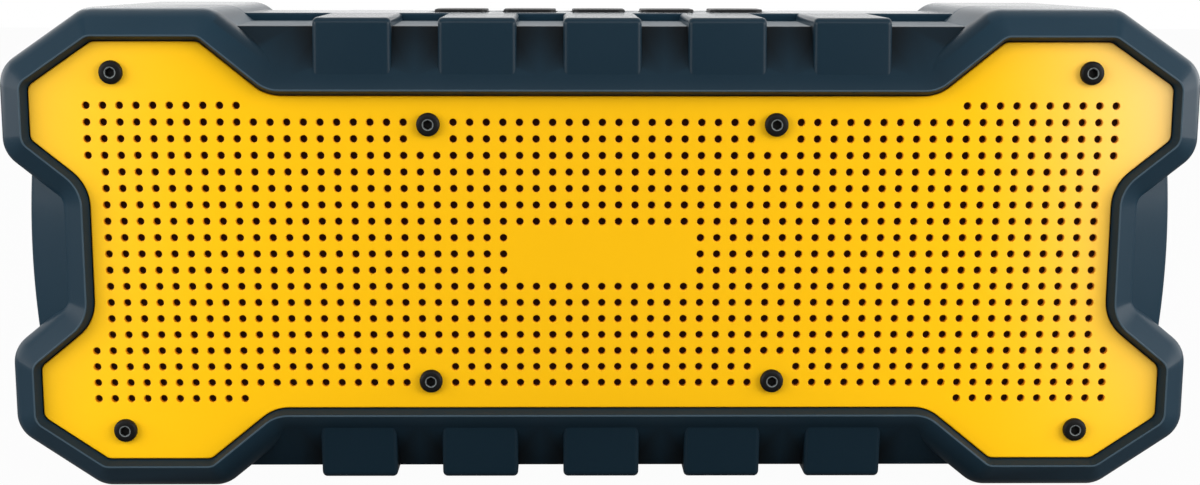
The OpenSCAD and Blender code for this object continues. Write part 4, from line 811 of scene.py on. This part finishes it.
def button_rings(x):
    """A cap on its lip and stem: rings of a rounded rectangle, inset over the height. The top edge is a
    quarter round and the top crowns by a parabola; the stem's rings are circles of as many points."""
    wide = rounded_slab(BUTTON_W + 2 * LIP_W, BUTTON_D + 2 * LIP_W, BUTTON_R)
    cap = rounded_slab(BUTTON_W, BUTTON_D, BUTTON_R)
    a = np.linspace(0, 2 * np.pi, len(cap), endpoint=False) - 0.75 * np.pi
    stem = STEM_R * np.stack([np.cos(a), np.sin(a)], 1)
    lip_low = LIP_TOP - LIP_T
    rings = [(stem, lip_low - STEM_L), (stem, lip_low), (wide, lip_low), (wide, LIP_TOP), (cap, LIP_TOP)]
    side_top = BUTTON_TOP - CAP_CROWN - CAP_EDGE
    t = np.radians(np.linspace(0, 90, 6))
    for inset, up in zip(CAP_EDGE * (1 - np.cos(t)), CAP_EDGE * np.sin(t)):
        slab = rounded_slab(BUTTON_W - 2 * inset, BUTTON_D - 2 * inset, BUTTON_R - inset)
        rings.append((slab, side_top + up))
    inner = rings[-1][0]
    for s in (0.75, 0.5, 0.25):
        rings.append((inner * s, BUTTON_TOP - CAP_CROWN * s ** 2))
    return np.array([np.c_[xy + (x, BUTTON_Y), np.full(len(xy), z)] for xy, z in rings])


for x, label in zip(BUTTON_XS, ("power", "pairing", "volume_down", "play", "volume_up")):
    cap = loft(f"{label}_button_cap", button_rings(x), angle=25.0)
    dress(cap, black_rubber)
    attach(cap, f"{label}_button")
    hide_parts(f"{label}_button")


# The port flap: a soft black rubber lid over the sockets, with a barrel along its top edge and a scoop for a
# fingernail in its lower one. It turns on a steel pin in the rear shell's bay and swings up and out.
HINGE_Y, HINGE_Z, BARREL_R, PIN_R = 45.2, 47.1, 1.7, 0.85
FLAP_T, FLAP_FIT, SCOOP_R, SCOOP_HW = 2.5, 0.4, 1.2, 6.0
flap_hw, flap_low, flap_y = BAY_HW - FLAP_FIT, BAY_Z - BAY_HH + FLAP_FIT, BACK_Y - PANEL_RECESS
inner_y = flap_y - FLAP_T
plate = np.array([[inner_y, flap_low], [flap_y, flap_low], [flap_y, HINGE_Z], [inner_y, HINGE_Z]])


def along_width(name, yz, inset, ends):
    """A side view carried along the width, drawn in at both ends by a quarter round of the inset."""
    hub = yz.mean(0)
    t = np.radians(np.linspace(0, 90, 5))
    out, pull = ends - inset * (1 - np.sin(t)), inset * np.cos(t)
    xs, pull = np.concatenate([-out, out[::-1]]), np.concatenate([pull, pull[::-1]])
    size = np.ptp(yz, axis=0) / 2
    rings = [np.c_[np.full(len(yz), x), hub + (yz - hub) * (1 - p / size)] for x, p in zip(xs, pull)]
    return loft(name, rings)


plate = fillet(plate, [0.3, 0.6, 0.3, 0.3], steps=4, closed=True, hold=0.05)
flap = along_width("port_flap_lid", plate, 0.5, flap_hw)
spin = np.linspace(0, 2 * np.pi, 32, endpoint=False)
circle = np.stack([np.cos(spin), np.sin(spin)], 1)
barrel, bore = ((HINGE_Y, HINGE_Z) + r * circle for r in (BARREL_R, PIN_R))
scoop = (flap_y, flap_low) + SCOOP_R * circle
carved(flap, [along_width("flap_barrel", barrel, 0.2, flap_hw)], "UNION")
cuts = [along_width("flap_bore", bore, 0.0, BAY_HW), along_width("flap_scoop", scoop, 0.3, SCOOP_HW)]
carved(flap, cuts, "DIFFERENCE")
dress(flap, black_rubber)
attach(flap, "port_flap")
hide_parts("port_flap")


# Fasteners and seals that hold the shells together: a rubber ring in a groove of the seam, four long
# screws from the back, and brass inserts that are melted into the front shell.
def finish_nodes(mat, *names):
    """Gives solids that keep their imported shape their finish."""
    for name in names:
        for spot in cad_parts[name].material_slots:
            spot.material = mat


SIDES = ("left", "right")
finish_nodes(black_rubber, "housing_seal", "grille_gasket", *(f"{s}_driver_gasket" for s in SIDES),
             *(f"{s}_driver_surround" for s in SIDES))
finish_nodes(black_steel, "case_screws", "driver_screws")
finish_nodes(metal("turned_brass", ink(176, 136, 66), ink(208, 172, 98), 0.34),
             "case_inserts", "grille_inserts")


# The two drivers behind the panel: pressed steel baskets with a ferrite magnet between steel plates, a
# paper cone with its cap, a cloth spider and a copper coil. Screws hold them to the baffle.
zinc_steel = metal("zinc_plated_steel", ink(150, 153, 156), ink(182, 184, 186), 0.33)
finish_nodes(zinc_steel, *(f"{s}_driver_{p}" for s in SIDES for p in ("basket", "top_plate", "yoke")))
finish_nodes(moulded("sintered_ferrite", ink(38, 38, 40), ink(56, 56, 58), 0.62, 0.6, 0.03),
             *(f"{s}_driver_magnet" for s in SIDES))
finish_nodes(woven("resin_cloth", ink(150, 112, 52), ink(206, 170, 98), 0.8, 0.1),
             *(f"{s}_driver_spider" for s in SIDES))
finish_nodes(moulded("pressed_paper", ink(22, 22, 23), ink(44, 43, 42), 0.78, 1.4, 0.06),
             *(f"{s}_driver_{p}" for s in SIDES for p in ("cone", "dust_cap")))
finish_nodes(metal("copper_winding", ink(168, 92, 54), ink(206, 128, 82), 0.3, 1.0, 2600.0),
             *(f"{s}_voice_coil" for s in SIDES))


# The electronics in the rear shell: the main board with its sockets and the button board with its
# switches, both green glass-fibre boards, each screwed to bosses of the shell.
def board_finish(name, green, track):
    """A solder-masked board: copper runs show as paler green bands where a brick pattern has its joints."""
    mat, w, shader = new_finish(name)
    runs = w.node("TexBrick", Vector=w.node("TexCoord", out=3), Scale=110.0, Mortar_Size=0.018,
                  Color1=green, Color2=tuple(0.8 * c for c in green[:3]) + (1.0,), Mortar=track)
    cloud = spots(w, 60.0)
    link(blended(w, 0.35 * cloud, runs, green), shader, "Base Color")
    link(0.36 + 0.12 * cloud, shader, "Roughness")
    return mat


finish_nodes(board_finish("green_board", ink(18, 84, 48), ink(60, 132, 84)), "main_board", "button_board")
finish_nodes(moulded("black_plastic", ink(18, 18, 19), ink(32, 32, 33), 0.42, 0.5, 0.015),
             "button_switches", "aux_socket", "battery_tray")
finish_nodes(zinc_steel, "charge_socket", "flap_pin", "button_board_screws", "board_screws", "tray_screws")


# The battery: three round cells in shrink wrap, clipped into a plastic cradle that is screwed to the back
# of the baffle, and the leads from cells, drivers and buttons to the main board.
finish_nodes(moulded("shrink_wrap", ink(30, 82, 148), ink(44, 104, 172), 0.3, 6.0, 0.02), "battery_cells")
finish_nodes(moulded("black_lead_skin", ink(20, 20, 21), ink(34, 34, 35), 0.45, 0.8, 0.02),
             "left_speaker_lead", "right_speaker_lead")
finish_nodes(moulded("red_lead_skin", ink(150, 20, 18), ink(182, 34, 30), 0.45, 0.8, 0.02), "battery_lead")
finish_nodes(moulded("grey_lead_skin", ink(176, 176, 174), ink(206, 206, 204), 0.45, 0.8, 0.02),
             "button_lead")


# The studio: a pale floor under the speaker, a white surround, and soft boxes above, behind, high in front
# and at both sides. The floor and the surround are white to the camera and give little light themselves.
def lamp(name, place, size, power, aim=(0, 0, 0.06)):
    """A rectangular soft box at a place, turned to face a point."""
    data = bpy.data.lights.new(name, "AREA")
    data.shape, data.size, data.size_y = "RECTANGLE", *size
    data.energy = power
    obj = bpy.data.objects.new(name, data)
    ahead = unit(np.array(aim) - np.array(place))
    side = unit(np.cross(ahead, (0, 0, 1.0)) + (1e-6, 0, 0))
    turned = np.eye(4)
    turned[:3, :3] = np.stack([side, np.cross(side, ahead), -ahead], 1)
    turned[:3, 3] = place
    obj.matrix_world = Matrix(turned.tolist())
    bpy.context.scene.collection.objects.link(obj)


lamp("top_box", (0.0, -0.1, 1.2), (1.4, 1.0), 2.0, aim=(0, 0, 0.05))
lamp("left_box", (-0.85, -0.5, 0.26), (0.8, 0.75), 9.5)
lamp("right_box", (0.85, -0.5, 0.26), (0.8, 0.75), 12.0)
lamp("left_edge", (-0.95, 0.3, 0.22), (0.6, 0.6), 1.1)
lamp("right_edge", (0.95, 0.3, 0.22), (0.6, 0.6), 1.6)
lamp("back_box", (0.0, 1.3, 0.9), (1.4, 0.7), 6.0)
lamp("front_box", (0.0, -1.35, 1.25), (2.0, 0.7), 11.0)

FLOOR_HW = 4
floor_corners = [(FLOOR_HW * x, FLOOR_HW * y, 0) for x, y in ((-1, -1), (1, -1), (1, 1), (-1, 1))]
floor_mesh = bpy.data.meshes.new("studio_floor")
floor_mesh.from_pydata(floor_corners, [], [(0, 1, 2, 3)])
floor = bpy.data.objects.new("studio_floor", floor_mesh)
bpy.context.scene.collection.objects.link(floor)
pale, w, matte = new_finish("pale_floor")
matte.inputs["Base Color"].default_value = ink(120, 120, 120)
matte.inputs["Roughness"].default_value = 0.8
path = w.node("LightPath")
mirrored = Wire(path.tree, path.out.node.outputs["Is Glossy Ray"])
seen = w.sum("MAXIMUM", path, mirrored)
glow = w.node("Emission", Color=(1, 1, 1, 1), Strength=1.0 - 0.85 * mirrored)
mixed = w.node("MixShader", i0=seen * 0.97, i1=Wire(w.tree, matte.outputs[0]), i2=glow)
link(mixed, w.tree.nodes["Material Output"], "Surface")
dress(floor, pale)

world = bpy.data.worlds.new("white_surround")
bpy.context.scene.world = world
world.use_nodes = True
w = Wire(world.node_tree)
path = w.node("LightPath")
glossy = Wire(path.tree, path.out.node.outputs["Is Glossy Ray"])
through = Wire(path.tree, path.out.node.outputs["Is Transmission Ray"])
direction = w.node("SeparateXYZ", Vector=w.node("TexCoord", out=0))
behind = Wire(direction.tree, direction.out.node.outputs["Y"])
share = w.node("Math", {"operation": "ADD", "use_clamp": True}, i0=path, i1=through)
mirrored = w.node("MapRange", i0=behind, i1=-0.2, i2=0.6, i3=0.04, i4=1.0)
level = 0.25 + share * 0.75 + (1.0 - share) * glossy * (mirrored - 0.25)
ground = world.node_tree.nodes["Background"]
ground.inputs["Color"].default_value = (1, 1, 1, 1)
link(level, ground, "Strength")


# The camera stands half a metre in front, a little above the speaker and 11 mm left of its middle, as
# fitted to the holes of the photographed panel. The photograph is a crop, so the lens is shifted.
CAMERA_AT, YAW, PITCH, ROLL, LENS = (-11.0, -523.5, 127.0), 0.647, 10.896, 0.09, 59.12
SHIFT_X, SHIFT_Y = 0.0177, 0.09
yaw, pitch, roll = np.radians([YAW, PITCH, ROLL])
forward = np.array([np.sin(yaw) * np.cos(pitch), np.cos(yaw) * np.cos(pitch), -np.sin(pitch)])
right = np.array([np.cos(yaw), -np.sin(yaw), 0])
up = np.cross(right, forward)
rolled_right = right * np.cos(roll) + up * np.sin(roll)
rolled_up = up * np.cos(roll) - right * np.sin(roll)
turned = np.eye(4)
turned[:3, :3] = np.stack([rolled_right, rolled_up, -forward], 1)
turned[:3, 3] = np.array(CAMERA_AT) * MM
camera_data = bpy.data.cameras.new("photo_camera")
camera_data.lens, camera_data.sensor_width, camera_data.sensor_fit = LENS, 36.0, "HORIZONTAL"
camera_data.shift_x, camera_data.shift_y, camera_data.clip_start = SHIFT_X, SHIFT_Y, 0.01
camera = bpy.data.objects.new("photo_camera", camera_data)
camera.matrix_world = Matrix(turned.tolist())
bpy.context.scene.collection.objects.link(camera)
bpy.context.scene.camera = camera
bpy.context.scene.view_settings.view_transform = "Standard"
